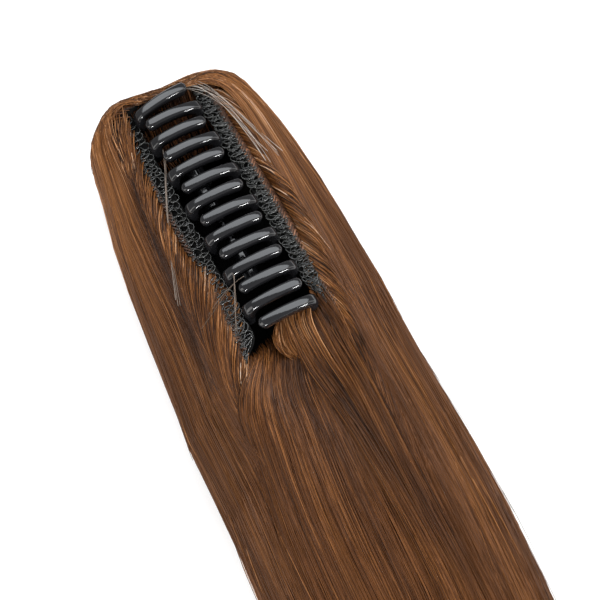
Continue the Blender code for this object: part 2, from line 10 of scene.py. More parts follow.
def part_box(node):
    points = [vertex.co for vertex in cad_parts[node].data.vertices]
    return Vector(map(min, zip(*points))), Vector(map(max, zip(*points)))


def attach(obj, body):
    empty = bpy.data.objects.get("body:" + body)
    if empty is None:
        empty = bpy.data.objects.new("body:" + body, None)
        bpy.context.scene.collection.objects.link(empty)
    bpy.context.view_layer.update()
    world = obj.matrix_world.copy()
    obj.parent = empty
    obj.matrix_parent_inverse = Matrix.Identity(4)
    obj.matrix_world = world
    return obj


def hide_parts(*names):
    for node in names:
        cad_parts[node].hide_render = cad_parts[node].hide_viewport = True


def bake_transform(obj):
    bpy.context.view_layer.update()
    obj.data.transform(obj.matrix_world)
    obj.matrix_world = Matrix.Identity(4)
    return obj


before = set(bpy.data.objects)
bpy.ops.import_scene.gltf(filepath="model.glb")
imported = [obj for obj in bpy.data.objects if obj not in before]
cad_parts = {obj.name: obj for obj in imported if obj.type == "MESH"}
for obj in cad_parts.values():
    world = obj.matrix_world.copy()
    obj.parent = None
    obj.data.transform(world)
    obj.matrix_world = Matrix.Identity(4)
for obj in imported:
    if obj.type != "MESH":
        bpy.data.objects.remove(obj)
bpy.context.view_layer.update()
mm = 0.001
print("frame loaded:", len(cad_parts), "nodes")

# The middle of the hinge pin is the place that the clip and the hair are measured from
pinLow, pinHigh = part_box("hinge_pin")
hinge = np.array((pinLow + pinHigh) / 2)
clipPlace = np.array([hinge[0], hinge[1], 0.0])  # the same place on the resting surface


# Camera, lights and floor

cameraSettings = {
    "fromClip": (-74.8, -167.1, 426.2),  # mm, from the clip's place on the surface
    "turn": -34.23,  # degrees round the object
    "height": 68.76,
    "roll": 5.64,
    "lens": 67.3,
}


def placeCamera(settings):
    turn, height, roll = (math.radians(settings[key]) for key in ("turn", "height", "roll"))
    back = Vector((math.sin(turn) * math.cos(height), -math.cos(turn) * math.cos(height), math.sin(height)))
    level = Vector((math.cos(turn), math.sin(turn), 0.0))
    upright = back.cross(level)
    right = level * math.cos(roll) + upright * math.sin(roll)
    top = upright * math.cos(roll) - level * math.sin(roll)
    camera = bpy.data.objects.new("photoCamera", bpy.data.cameras.new("photoCamera"))
    bpy.context.scene.collection.objects.link(camera)
    place = Vector(clipPlace) + Vector(settings["fromClip"]) * mm
    camera.matrix_world = Matrix.Translation(place) @ Matrix((right, top, back)).transposed().to_4x4()
    camera.data.lens = settings["lens"]
    camera.data.clip_start = 0.01
    bpy.context.scene.camera = camera


lightSettings = {
    "roomStrength": 0.42,
    "roomColour": (1.0, 1.0, 1.0),
    "floorColour": (0.86, 0.86, 0.86),
    # name: place in metres from the clip, size in metres, radiance, colour
    "lamps": {
        "overheadSoftbox": ((0.22, 0.42, 0.95), (1.5, 0.62), 4.3, (0.92, 0.96, 1.0)),
        "frontSpotLeft": ((-0.32, -0.86, 0.42), (0.2, 0.06), 150.0, (1.0, 1.0, 1.0)),
        "frontSpotRight": ((0.5, -0.76, 0.42), (0.2, 0.06), 150.0, (1.0, 1.0, 1.0)),
        "leftPanel": ((-1.2, 0.0, 0.62), (0.6, 1.4), 3.0, (1.0, 0.97, 0.93)),
        "rightPanel": ((1.2, -0.2, 0.62), (0.6, 1.4), 2.0, (1.0, 0.97, 0.93)),
    },
}


def placeLights(settings):
    world = bpy.data.worlds.new("studioRoom")
    world.use_nodes = True
    sky = world.node_tree.nodes["Background"]
    sky.inputs["Color"].default_value = (*settings["roomColour"], 1.0)
    sky.inputs["Strength"].default_value = settings["roomStrength"]
    bpy.context.scene.world = world
    for name, (place, size, radiance, colour) in settings["lamps"].items():
        lamp = bpy.data.lights.new(name, "AREA")
        lamp.shape = "RECTANGLE"
        lamp.size, lamp.size_y = size
        lamp.energy = radiance * math.pi * size[0] * size[1]
        lamp.color = colour
        holder = bpy.data.objects.new(name, lamp)
        bpy.context.scene.collection.objects.link(holder)
        holder.location = Vector(clipPlace) + Vector(place)
        holder.rotation_euler = (-Vector(place)).to_track_quat("-Z", "Y").to_euler()
    bpy.ops.mesh.primitive_plane_add(size=12.0)
    floor = bpy.context.object
    floor.name = "floor"
    return floor


bpy.context.scene.view_settings.view_transform = "Standard"
placeCamera(cameraSettings)
floor = placeLights(lightSettings)
print("camera, lights and floor placed")


# Finishes: an expression on sockets adds its own Math nodes

class Socket:
    def __init__(self, finish, out):
        self.finish = finish
        self.out = out

    def combine(self, operation, first, second):
        return self.finish.node("ShaderNodeMath", {"operation": operation}, {0: first, 1: second})

    def __add__(self, other):
        return self.combine("ADD", self, other)

    def __sub__(self, other):
        return self.combine("SUBTRACT", self, other)

    def __rsub__(self, other):
        return self.combine("SUBTRACT", other, self)

    def __mul__(self, other):
        return self.combine("MULTIPLY", self, other)

    __radd__ = __add__
    __rmul__ = __mul__


def setStops(ramp, stops):
    while len(ramp.elements) < len(stops):
        ramp.elements.new(0.5)
    for element, (position, colour) in zip(ramp.elements, stops):
        element.position = position
        element.color = (*colour, 1.0)


class Finish:
    def __init__(self, name, **constants):
        self.material = bpy.data.materials.new(name)
        self.material.use_nodes = True
        self.tree = self.material.node_tree
        self.shader = self.tree.nodes["Principled BSDF"]
        for key, value in constants.items():
            self.shader.inputs[key.replace("_", " ")].default_value = value

    # Any node: what it is, its settings, and the values or links of its sockets
    def node(self, kind, settings=None, sockets=None, output=0):
        made = self.tree.nodes.new(kind)
        for key, value in (settings or {}).items():
            if key == "stops":
                setStops(made.color_ramp, value)
            else:
                setattr(made, key, value)
        for key, value in (sockets or {}).items():
            self.feed(made.inputs[key], value)
        return Socket(self, made.outputs[output])

    def feed(self, socket, value):
        if isinstance(value, Socket):
            self.tree.links.new(value.out, socket)
        else:
            socket.default_value = value

    def mix(self, factor, first, second):
        sockets = {0: factor, 6: (*first, 1.0), 7: (*second, 1.0)}
        return self.node("ShaderNodeMix", {"data_type": "RGBA"}, sockets, output=2)

    # Noise on the object's own place, stretched by a factor for each axis
    def noise(self, stretch, detail=3.0):
        place = self.node("ShaderNodeTexCoord", output=3)
        shrunk = self.node("ShaderNodeVectorMath", {"operation": "MULTIPLY"}, {0: place, 1: stretch})
        return self.node("ShaderNodeTexNoise", None, {"Vector": shrunk, "Scale": 1.0, "Detail": detail})

    def bump(self, height, strength, distance):
        sockets = {"Strength": strength, "Distance": distance, "Height": height}
        self.feed(self.shader.inputs["Normal"], self.node("ShaderNodeBump", None, sockets))


def hairFinish(settings):
    finish = Finish(settings["name"], Specular_IOR_Level=settings["gloss"])
    tone = finish.node("ShaderNodeAttribute", {"attribute_name": "tone"}, output=2)
    patches = finish.noise((60.0, 14.0, 60.0), detail=2.0)
    streaks = finish.noise((1500.0, 30.0, 1500.0), detail=2.0)
    shade = tone + (patches - 0.5) * settings["patchiness"] + (streaks - 0.5) * settings["streakiness"]
    ramp = finish.node("ShaderNodeValToRGB", {"stops": settings["stops"]}, {0: shade})
    finish.feed(finish.shader.inputs["Base Color"], ramp)
    finish.feed(finish.shader.inputs["Roughness"], streaks * 0.16 + (settings["roughness"] - 0.08))
    if settings.get("bump"):
        finish.bump(streaks, 1.0, settings["bump"])
    return finish


hairColours = {
    "name": "chestnutHair",
    "roughness": 0.42,
    "gloss": 0.28,
    "patchiness": 0.16,
    "streakiness": 0.22,
    "stops": (
        (0.0, (0.006, 0.003, 0.002)),
        (0.25, (0.028, 0.009, 0.0025)),
        (0.5, (0.092, 0.03, 0.0055)),
        (0.75, (0.27, 0.105, 0.028)),
        (0.9, (0.5, 0.26, 0.12)),
        (1.0, (0.68, 0.55, 0.45)),
    ),
}
paleColours = dict(hairColours, name="paleLooseHair", patchiness=0.1, stops=(
    (0.0, (0.1, 0.07, 0.05)), (0.5, (0.3, 0.25, 0.21)), (1.0, (0.62, 0.56, 0.5))))
underColours = dict(hairColours, name="underHair", bump=0.0012, roughness=0.5, patchiness=0.12, streakiness=0.7)


def plasticFinish():
    finish = Finish("glossyBlackPlastic", IOR=1.5)
    cloud = finish.noise((90.0, 90.0, 90.0))
    grain = finish.noise((2600.0, 2600.0, 2600.0), detail=2.0)
    colour = finish.mix(cloud, (0.006, 0.006, 0.0068), (0.011, 0.011, 0.0125))
    finish.feed(finish.shader.inputs["Base Color"], colour)
    finish.feed(finish.shader.inputs["Roughness"], cloud * 0.05 + grain * 0.03 + 0.045)
    finish.bump(grain, 0.03, 0.0002)
    return finish


def threadFinish(name, dark, light, roughness, gloss=0.5):
    finish = Finish(name, Specular_IOR_Level=gloss)
    tone = finish.node("ShaderNodeAttribute", {"attribute_name": "tone"}, output=2)
    fibre = finish.noise((3800.0, 3800.0, 3800.0))
    finish.feed(finish.shader.inputs["Base Color"], finish.mix(tone * 0.7 + fibre * 0.5 - 0.1, dark, light))
    finish.feed(finish.shader.inputs["Roughness"], fibre * 0.2 + (roughness - 0.1))
    finish.bump(fibre, 0.5, 0.0003)
    return finish


def steelFinish():
    finish = Finish("springSteel", Metallic=1.0)
    grain = finish.noise((900.0, 5000.0, 900.0))
    finish.feed(finish.shader.inputs["Base Color"], finish.mix(grain, (0.015, 0.015, 0.016), (0.04, 0.04, 0.042)))
    finish.feed(finish.shader.inputs["Roughness"], grain * 0.25 + 0.22)
    return finish


def floorFinish(colour):
    finish = Finish("paleFloor", Roughness=0.9, Emission_Strength=0.2)
    for socket in ("Base Color", "Emission Color"):
        finish.shader.inputs[socket].default_value = (*colour, 1.0)
    return finish


hairLook = hairFinish(hairColours)
underLook = hairFinish(underColours)
paleLook = hairFinish(paleColours)
plasticLook = plasticFinish()
netLook = threadFinish("blackCrochetThread", (0.001, 0.001, 0.001), (0.036, 0.037, 0.033), 0.22, 0.8)
# black ground under the nets' loops, and the clip's room inside, where it is partly painted shade
groundAndShadeLook = threadFinish("blackGroundMesh", (0.003, 0.003, 0.003), (0.008, 0.0078, 0.0074), 0.9, 0.1)
cordLook = threadFinish("darkEdgeCord", (0.012, 0.008, 0.006), (0.05, 0.03, 0.02), 0.55)
sewnLook = threadFinish("brownStitching", (0.012, 0.006, 0.0045), (0.33, 0.15, 0.08), 0.42)
steelLook = steelFinish()
floor.data.materials.append(floorFinish(lightSettings["floorColour"]).material)
print("finishes made")


# Meshes

# faceRings is a list of arrays, each with its faces' corners in rows
def newPiece(name, points, faceRings, finish, tones=None):
    mesh = bpy.data.meshes.new(name)
    mesh.vertices.add(len(points))
    mesh.vertices.foreach_set("co", np.asarray(points, np.float32).ravel())
    corners = np.concatenate([rows.ravel() for rows in faceRings])
    sizes = np.concatenate([np.full(len(rows), rows.shape[1]) for rows in faceRings])
    mesh.loops.add(len(corners))
    mesh.loops.foreach_set("vertex_index", corners.astype(np.int32))
    mesh.polygons.add(len(sizes))
    mesh.polygons.foreach_set("loop_start", (np.cumsum(sizes) - sizes).astype(np.int32))
    mesh.polygons.foreach_set("use_smooth", np.ones(len(sizes), bool))
    mesh.update(calc_edges=True)
    if tones is not None:
        mesh.attributes.new("tone", "FLOAT", "POINT").data.foreach_set("value", tones.astype(np.float32))
    mesh.materials.append(finish.material)
    piece = bpy.data.objects.new(name, mesh)
    bpy.context.scene.collection.objects.link(piece)
    return piece


straightUp = np.array([0.0, 0.0, 1.0])


def unit(vectors):
    return vectors / np.maximum(np.linalg.norm(vectors, axis=-1, keepdims=True), 1e-12)


# Many closed tubes at once: paths are (tubes, steps, 3), and halfThick goes along the normal or normals
def sweep(name, paths, normals, halfWidth, halfThick, finish, tones, sides=3):
    count, steps = paths.shape[:2]
    along = np.gradient(paths, axis=1)
    across = unit(np.cross(along, normals))
    upward = unit(np.cross(across, along))
    turns = math.pi / 2 + 2 * math.pi * np.arange(sides) / sides
    wide = np.broadcast_to(halfWidth, (count, steps))[..., None, None] * np.cos(turns)[:, None]
    thick = np.broadcast_to(halfThick, (count, steps))[..., None, None] * np.sin(turns)[:, None]
    points = paths[:, :, None] + across[:, :, None] * wide + upward[:, :, None] * thick
    row = np.arange(steps - 1)[:, None] * sides
    here = np.arange(sides)[None]
    there = (here + 1) % sides
    quads = np.stack([row + here, row + sides + here, row + sides + there, row + there], -1).reshape(1, -1, 4)
    ends = np.stack([here[0], (steps - 1) * sides + here[0][::-1]])[None]
    starts = (np.arange(count) * steps * sides)[:, None, None]
    faces = [(quads + starts).reshape(-1, 4), (ends + starts).reshape(-1, sides)]
    shades = np.repeat(np.broadcast_to(tones, (count, steps)).ravel(), sides)
    return newPiece(name, points.reshape(-1, 3), faces, finish, shades)


def joinInto(piece, others):
    for obj in bpy.context.selected_objects:
        obj.select_set(False)
    for obj in [piece, *others]:
        obj.select_set(True)
    bpy.context.view_layer.objects.active = piece
    bpy.ops.object.join()


# One shape with others joined to it or cut out of it
def joinOrCut(piece, others, operation, keepFinishes=False):
    for other in others:
        modifier = piece.modifiers.new("shape", "BOOLEAN")
        modifier.operation = operation
        modifier.material_mode = "TRANSFER" if keepFinishes else "INDEX"
        modifier.object = other
        modifier.solver = "EXACT"
    graph = bpy.context.evaluated_depsgraph_get()
    made = bpy.data.meshes.new_from_object(piece.evaluated_get(graph))
    piece.modifiers.clear()
    piece.data = made
    for other in others:
        bpy.data.objects.remove(other, do_unlink=True)


# What every piece of hair ends with. joined holds the body that its roots ride on and two places, which are not used:
# if it is given, the piece's transform is only baked into its mesh, otherwise the piece is attached to the hair's body
def finishHair(piece, strands, joined=None):
    if joined:
        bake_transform(piece)
    else:
        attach(piece, "hair")
    print(piece.name + ":", strands, "strands,", len(piece.data.polygons), "faces")


# And what every piece of the clip ends with
def finishClip(piece, word, node):
    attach(piece, word + "_side")
    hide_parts(word + node)
    print(piece.name + ":", len(piece.data.polygons), "faces")


def inWorld(points):
    return np.asarray(points) * mm + clipPlace


def smooth(share):
    share = np.clip(share, 0.0, 1.0)
    return share * share * (3 - 2 * share)


def between(ends, share):
    return ends[0] + (ends[1] - ends[0]) * share


# A slow sway along y for each of count hairs
def wave(rng, count, y, lengths, size):
    length = rng.uniform(*lengths, (count, 1))
    return size * np.sin(2 * math.pi * (y / length + rng.random((count, 1))))


# The hair's form: sections like its solid's, on smooth curves and closer to the photograph's outline

hairForm = {
    "clipRoom": 103.7,  # mm along the clip
    "clipHeight": 56.34,
    "roomRadius": 25.84,  # round the hinge line, that the turning clip needs
    "sideThickness": 23.0,
    "crownDepth": 9.8,
    "crownSkew": 11.0,
    "tailLength": 342.0,
    "tailHalfWidth": 48.2,
    "tailHeight": 46.0,
    "tailDrift": -32.0,
    "dipReach": 0.55,  # of the half width
    "tableSteps": 900,
    "outlineSteps": 200,
    # half an outline: shares of the half width and of the height, from the top to the surface
    "outline": ((0, 1), (0.22, 0.99), (0.42, 0.965), (0.6, 0.92), (0.75, 0.85), (0.87, 0.74),
                (0.955, 0.58), (1, 0.4), (0.99, 0.22), (0.94, 0.08), (0.85, 0)),
    # along, side, top, dip, lean
    "clip": ((0, 0.9, 0.88, 0.24, -0.13), (0.2, 0.84, 0.91, 0.24, -0.04), (0.44, 0.78, 0.93, 0.2, 0.1),
             (0.64, 0.7, 0.94, 0.1, 0.2), (0.84, 0.56, 0.945, 0.03, 0.32), (1, 0.42, 0.93, 0, 0.31)),
    # along, wide, top, lift, lean, tilt
    "crown": ((0.25, 0.97, 0.94, 0, 0.3, 0.05), (0.55, 0.91, 0.85, 0.03, 0.37, 0.08),
              (0.8, 0.77, 0.72, 0.1, 0.5, 0.1), (0.95, 0.56, 0.6, 0.18, 0.7, 0.1),
              (1, 0.32, 0.49, 0.26, 0.85, 0.1)),
    # along, wide, top, dip, drift
    "tail": ((0.05, 0.98, 1.03, 0.17, 0.095), (0.1, 0.97, 0.985, 0.05, 0.085), (0.2, 1.0, 0.93, 0, 0.14),
             (0.33, 0.985, 0.84, 0, 0.215), (0.47, 0.96, 0.73, 0, 0.41), (0.62, 0.88, 0.62, 0, 0.6),
             (0.77, 0.785, 0.5, 0, 0.78), (0.9, 0.64, 0.35, 0, 0.91), (1, 0.44, 0.16, 0, 1)),
}


# Smooth values between the rows of a table whose first column rises
def smoothTable(rows, count):
    rows = np.array(rows, float)
    places = rows[:, 0]
    fine = np.linspace(places[0], places[-1], count)
    index = np.clip(np.searchsorted(places, fine, side="right") - 1, 0, len(rows) - 2)
    before, after = np.maximum(index - 1, 0), np.minimum(index + 2, len(rows) - 1)
    low, high = rows[index], rows[index + 1]
    span = (high[:, :1] - low[:, :1])
    slopeLow = (high - rows[before]) / (high[:, :1] - rows[before][:, :1]) * span
    slopeHigh = (rows[after] - low) / (rows[after][:, :1] - low[:, :1]) * span
    s = (fine[:, None] - low[:, :1]) / span
    made = ((2 * s**3 - 3 * s**2 + 1) * low + (s**3 - 2 * s**2 + s) * slopeLow
            + (3 * s**2 - 2 * s**3) * high + (s**3 - s**2) * slopeHigh)
    made[:, 0] = fine
    return made


def hairTable(form):
    # rows of (minus y, middle, half width, top, bottom, dip, tilt) in mm, from the crown's end to the tips
    room, height = form["clipRoom"], form["clipHeight"]
    clipEnd = form["clip"][-1]
    endWidth = form["roomRadius"] + form["sideThickness"] * clipEnd[1]
    rows = []
    for along, wide, top, lift, lean, tilt in form["crown"]:
        rows.append((-room / 2 - form["crownDepth"] * along, form["crownSkew"] * lean, endWidth * wide,
                     height * clipEnd[2] * top, height * lift, 0.0, tilt))
    for along, side, top, dip, lean in form["clip"]:
        rows.append((room / 2 - room * along, form["crownSkew"] * lean,
                     form["roomRadius"] + form["sideThickness"] * side, height * top, 0.0, height * dip, 0.0))
    for along, wide, top, dip, drift in form["tail"]:
        rows.append((room / 2 + form["tailLength"] * along, form["tailDrift"] * drift,
                     form["tailHalfWidth"] * wide, form["tailHeight"] * top, 0.0,
                     form["tailHeight"] * dip, 0.0))
    return smoothTable(sorted(rows), form["tableSteps"])


hairRows = hairTable(hairForm)
outlineRows = smoothTable([(i / 10, *row) for i, row in enumerate(hairForm["outline"])],
                          hairForm["outlineSteps"])
crownEnd = -hairRows[0, 0]
clipEndY = -hairForm["clipRoom"] / 2


# Points (mm, from the clip's place) at y on the hair, where around is -1, left on the surface, to 1
def surfacePoint(y, around):
    y, around = np.broadcast_arrays(y, around)
    middle, half, top, bottom, dip, tilt = (np.interp(-y, hairRows[:, 0], hairRows[:, k]) for k in range(1, 7))
    place = np.minimum(np.abs(around), 1.0)
    across = np.interp(place, outlineRows[:, 0], outlineRows[:, 1])
    up = np.interp(place, outlineRows[:, 0], outlineRows[:, 2])
    side = np.sign(around)
    sunk = dip * np.maximum(0.0, 1 - (across / hairForm["dipReach"]) ** 2) ** 2
    height = (top - bottom) * (1 + tilt * side * across)
    return np.stack([middle + side * across * half, y, bottom + height * up - sunk], -1)


# How far round the outline the hair's top has this x
def aroundAt(y, x):
    middle, half = (np.interp(-y, hairRows[:, 0], hairRows[:, k]) for k in (1, 2))
    widest = np.argmax(outlineRows[:, 1])
    share = np.abs(x - middle) / half
    return np.sign(x - middle) * np.interp(share, outlineRows[:widest, 1], outlineRows[:widest, 0])


def surfaceNormal(y, around):
    acrossStep = surfacePoint(y, around + 0.02) - surfacePoint(y, around - 0.02)
    alongStep = surfacePoint(y + 1.0, around) - surfacePoint(y - 1.0, around)
    return unit(np.cross(acrossStep, alongStep))


# Hollows: down the left side where the crown's hair meets the net's, and on the tail; and a fuller lobe at the
# crown's left, which is a hollow of less than no depth
hollows = {
    # each one's line of deepest places as (y, around), from its foot up, and its width as a share of half the outline
    "leftSide": {"line": ((-60.0, -0.38), (-16.0, -0.365), (0.0, -0.362), (28.0, -0.378)),
                 "depth": 3.2, "width": 0.028},
    "tail": {"line": ((-170.0, 0.22), (-62.0, 0.03)), "depth": 1.6, "width": 0.05},
    "leftLobe": {"line": ((36.0, -0.31), (72.0, -0.31)), "depth": -5.4, "width": 0.2},
}


def hollow(y, around):
    total = 0.0
    for place in hollows.values():
        foot, top = place["line"][0][0], place["line"][-1][0]
        ends = np.clip((top + 4 - y) / 12, 0.0, 1.0) * np.clip((y - foot) / 25, 0.0, 1.0)  # mm that it fades over
        away = (around - np.interp(y, *zip(*place["line"]))) / place["width"]
        total = total + place["depth"] * ends * np.exp(-(away**2))
    return total


# Locks: low waves across the hair that wander slowly along it
lockSettings = {
    # radians over half the outline: (height, how long its wander is) in mm
    "waves": {17.0: (0.5, 75.0), 29.0: (0.36, 95.0), 47.0: (0.24, 60.0), 83.0: (0.16, 70.0), 131.0: (0.1, 50.0)},
    "wander": 1.8,  # radians
    "crownEnd": (52.0, 40.0, 0.3),  # lower before this y, over these mm, at least this share
    "tail": (-70.0, 50.0, 0.35),  # and past this y, over these mm, by this share
}


def relief(y, around):
    s = lockSettings
    height = sum(size * np.sin(around * turns + s["wander"] * np.sin(y / length + turns))
                 for turns, (size, length) in s["waves"].items())
    start, over, least = s["crownEnd"]
    height = height * np.clip((start - y) / over, least, 1.0)
    start, over, less = s["tail"]
    return height * (1 - less * smooth((start - y) / over)) - hollow(y, around)


# Under hair: the closed body that the strands lie on, with the room for the clip cut into it

underSettings = {
    "rings": 116, "ringsAround": 181,
    "endRings": (0.1, 0.4, 0.7),  # sizes of the small rings that close its two ends
    "start": 0.3, "end": 0.975,  # mm from the crown's end, share of the tail's length
    "closer": 0.3,  # 1 for rings that are evenly spaced, less for closer ones at the crown
    "sunk": 0.75,  # mm under the hair's form
    "sunkLess": (50.0, 5.0, 0.6),  # past this y, over these mm, by this share
    "thinning": (140.0, 3.2),  # mm from the tail's end that it thins over, and mm that it thins by
    "floorGap": 0.2,
    "tone": 0.42, "toneSpread": 0.03,
}

# mm from the hinge line: the slot's walls begin at the edge, lean out by the flare up to the teeth's height, and go on
# up by the bed
roomSettings = {"radius": hairForm["roomRadius"], "edge": (22.2, 10.4), "height": 23.0, "flare": 7.0, "bed": 7.5,
                "pastTheEnd": 1.5, "steps": 72}


def roomOutline(s):
    # (x, z) in mm: the turning clip's room, and a slot with leaning walls above it
    edgeX, edgeZ = s["edge"]
    edge = math.atan2(edgeX, edgeZ)
    turns = edge + (2 * math.pi - 2 * edge) * np.arange(s["steps"] + 1) / s["steps"]
    outline = [(s["radius"] * math.sin(t), s["radius"] * math.cos(t)) for t in turns]
    top = s["height"] + s["bed"]
    wide = outline[0][0] + s["flare"] * (top - outline[0][1]) / (s["height"] - outline[0][1])
    return [(x, z + hinge[2] / mm) for x, z in outline + [(-wide, top), (wide, top)]]


def buildUnderHair(settings):
    rng = np.random.default_rng(11)
    endY = clipEndY - hairForm["tailLength"] * settings["end"]
    share = np.linspace(0.0, 1.0, settings["rings"])
    even = settings["closer"]
    y = (crownEnd - settings["start"]) + (endY - crownEnd) * (even * share + (1 - even) * share**2)
    around = np.linspace(-1.0, 1.0, settings["ringsAround"])
    yy, aa = np.meshgrid(y, around, indexing="ij")
    thinOver, thinBy = settings["thinning"]
    thin = 1 - smooth((y - endY) / thinOver)[:, None]
    crown, over, less = settings["sunkLess"]
    sunk = settings["sunk"] * (1 - less * smooth((y - crown) / over)[:, None])
    sunk = sunk + thinBy * thin - relief(yy, aa)
    surface, normals = surfacePoint(yy, aa), surfaceNormal(yy, aa)
    points = surface - normals * sunk[..., None]
    height = np.where(normals[..., 2] < 0, surface[..., 2], points[..., 2])  # its underside isn't raised
    points[..., 2] = np.maximum(height, settings["floorGap"])
    shares = np.array(settings["endRings"])[:, None, None]
    crownRings, tailRings = (ring.mean(0) + (ring - ring.mean(0)) * shares for ring in (points[0], points[-1]))
    points = np.concatenate([crownRings, points, tailRings[::-1]])
    rows, columns = points.shape[:2]
    index = np.arange(rows * columns).reshape(rows, columns)
    after = np.roll(index, -1, 1)
    quads = np.stack([index[:-1], index[1:], after[1:], after[:-1]], -1).reshape(-1, 4)
    caps = np.stack([index[0], index[-1][::-1]])
    tones = settings["tone"] + settings["toneSpread"] * rng.standard_normal(rows * columns)
    body = newPiece("underHair", inWorld(points.reshape(-1, 3)), [quads, caps], underLook, tones)
    outline = roomOutline(roomSettings)
    ends = [[(x, end, z) for x, z in outline] for end in (clipEndY - roomSettings["pastTheEnd"], -clipEndY)]
    corners = np.arange(len(outline))
    nextCorners = np.roll(corners, -1)
    walls = np.stack([corners, corners + len(outline), nextCorners + len(outline), nextCorners], -1)
    lids = np.stack([corners[::-1], corners + len(outline)])
    # the clip's room is black inside: partly the hair's black net base, partly painted shade deep in the room
    roomShadeTones = np.zeros(2 * len(outline))
    roomShadeTones[[len(outline) - 2, len(outline) - 1, -2, -1]] = settings["tone"]  # the slot's upper corners
    room = newPiece("clipRoom", inWorld(ends).reshape(-1, 3), [walls, lids], groundAndShadeLook, roomShadeTones)
    room.data.materials.append(underLook.material)
    for place in range(len(outline) - 3, len(outline)):
        room.data.polygons[place].material_index = 1  # the slot's leaning walls
    return body, room


underHair, clipRoom = buildUnderHair(underSettings)
hairShape = BVHTree.FromObject(underHair, bpy.context.evaluated_depsgraph_get())
joinOrCut(underHair, [clipRoom], "DIFFERENCE", keepFinishes=True)
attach(underHair, "hair")
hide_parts("crown_hair", "tail_hair")
print("under hair:", len(underHair.data.polygons), "faces")


# Strands: each one is a thin closed tube along a route of (y, around, lift) over the hair's form

halfOutline = 92.0  # mm, about what around from 0 to 1 stands for

strandSettings = {
    "halfWidth": (0.1, 0.24),  # mm
    "halfThick": 0.12,
    "thinTip": (0.15, 0.12), "thinRoot": (0.03, 0.5),  # over which share of its length, and down to which share
    "furthest": 0.995,  # round the outline
    "held": 40.0,  # mm from its root over which a strand can't sway yet
    "sharedSway": ((0.006, 37.0, 7.0), (0.004, 23.0, 19.0)),  # size, mm along, radians over half the outline
    "ownSway": ((80, 200), 0.0028),
    "lift": (-0.35, 0.35),  # mm
    "liftSway": ((40, 120), 0.12),
    "lowest": (0.25, 0.8),
    "tipShare": (0.9, 1.0),  # of the tail
    # how far in the tips go, of the hair's height; from and over which mm of the tail; few go as far
    "gather": (0.92, 270.0, 70.0, 1.5),
    "ease": 25.0,  # mm in which it stops going sideways, and the steepest that it may go
    "steepest": 0.002,
    "softEnd": 3.4,  # mm, over which hair that is drawn past the crown's end comes to lie on it
    "bands": ((0.025, 23, 110, 0), (0.02, 61, 80, 2)),  # tone, radians over half the outline, mm along, start
    "paintedHollowShade": 0.07,  # painted shade: darker, for each mm of a hollow's depth
    "topHighlightFrom": (-35.0, 75.0),  # painted highlight: the y from which and mm over which the hair is painted lighter towards its top
    "contrast": (0.6, 1.6, 60.0),  # far from the roots, how much more at them, mm
    "palest": 0.93,
}


# Curves from four (strands, 3) arrays of corners
def bezier(corners, steps):
    t = np.linspace(0.0, 1.0, steps)[None, :, None]
    weights = ((1 - t) ** 3, 3 * (1 - t) ** 2 * t, 3 * (1 - t) * t**2, t**3)
    return sum(weight * corner[:, None] for weight, corner in zip(weights, corners))


def corner(count, y, around, lift):
    return np.stack([np.broadcast_to(value, (count,)) for value in (y, around, lift)], -1)


def tipPlaces(rng, count):
    return clipEndY - hairForm["tailLength"] * between(strandSettings["tipShare"], rng.random(count) ** 0.6)


# Carries a route on from its last place down the tail, easing out of the way it was going
def runDown(route, tipY, steps, growth=1.12):
    s = strandSettings
    gaps = growth ** np.arange(steps)
    share = (np.cumsum(gaps) / gaps.sum())[None]
    last = route[:, -1]
    slope = (last[:, 1] - route[:, -2, 1]) / np.minimum(last[:, 0] - route[:, -2, 0], -0.5)
    slope = np.clip(slope, -s["steepest"], s["steepest"])
    y = last[:, :1] + (tipY[:, None] - last[:, :1]) * share
    ease = s["ease"] * (1 - np.exp((y - last[:, :1]) / s["ease"]))
    more = np.stack([y, last[:, 1:2] - slope[:, None] * ease, last[:, 2:] * (1 - smooth(share * 2))], -1)
    return np.concatenate([route, more], 1)


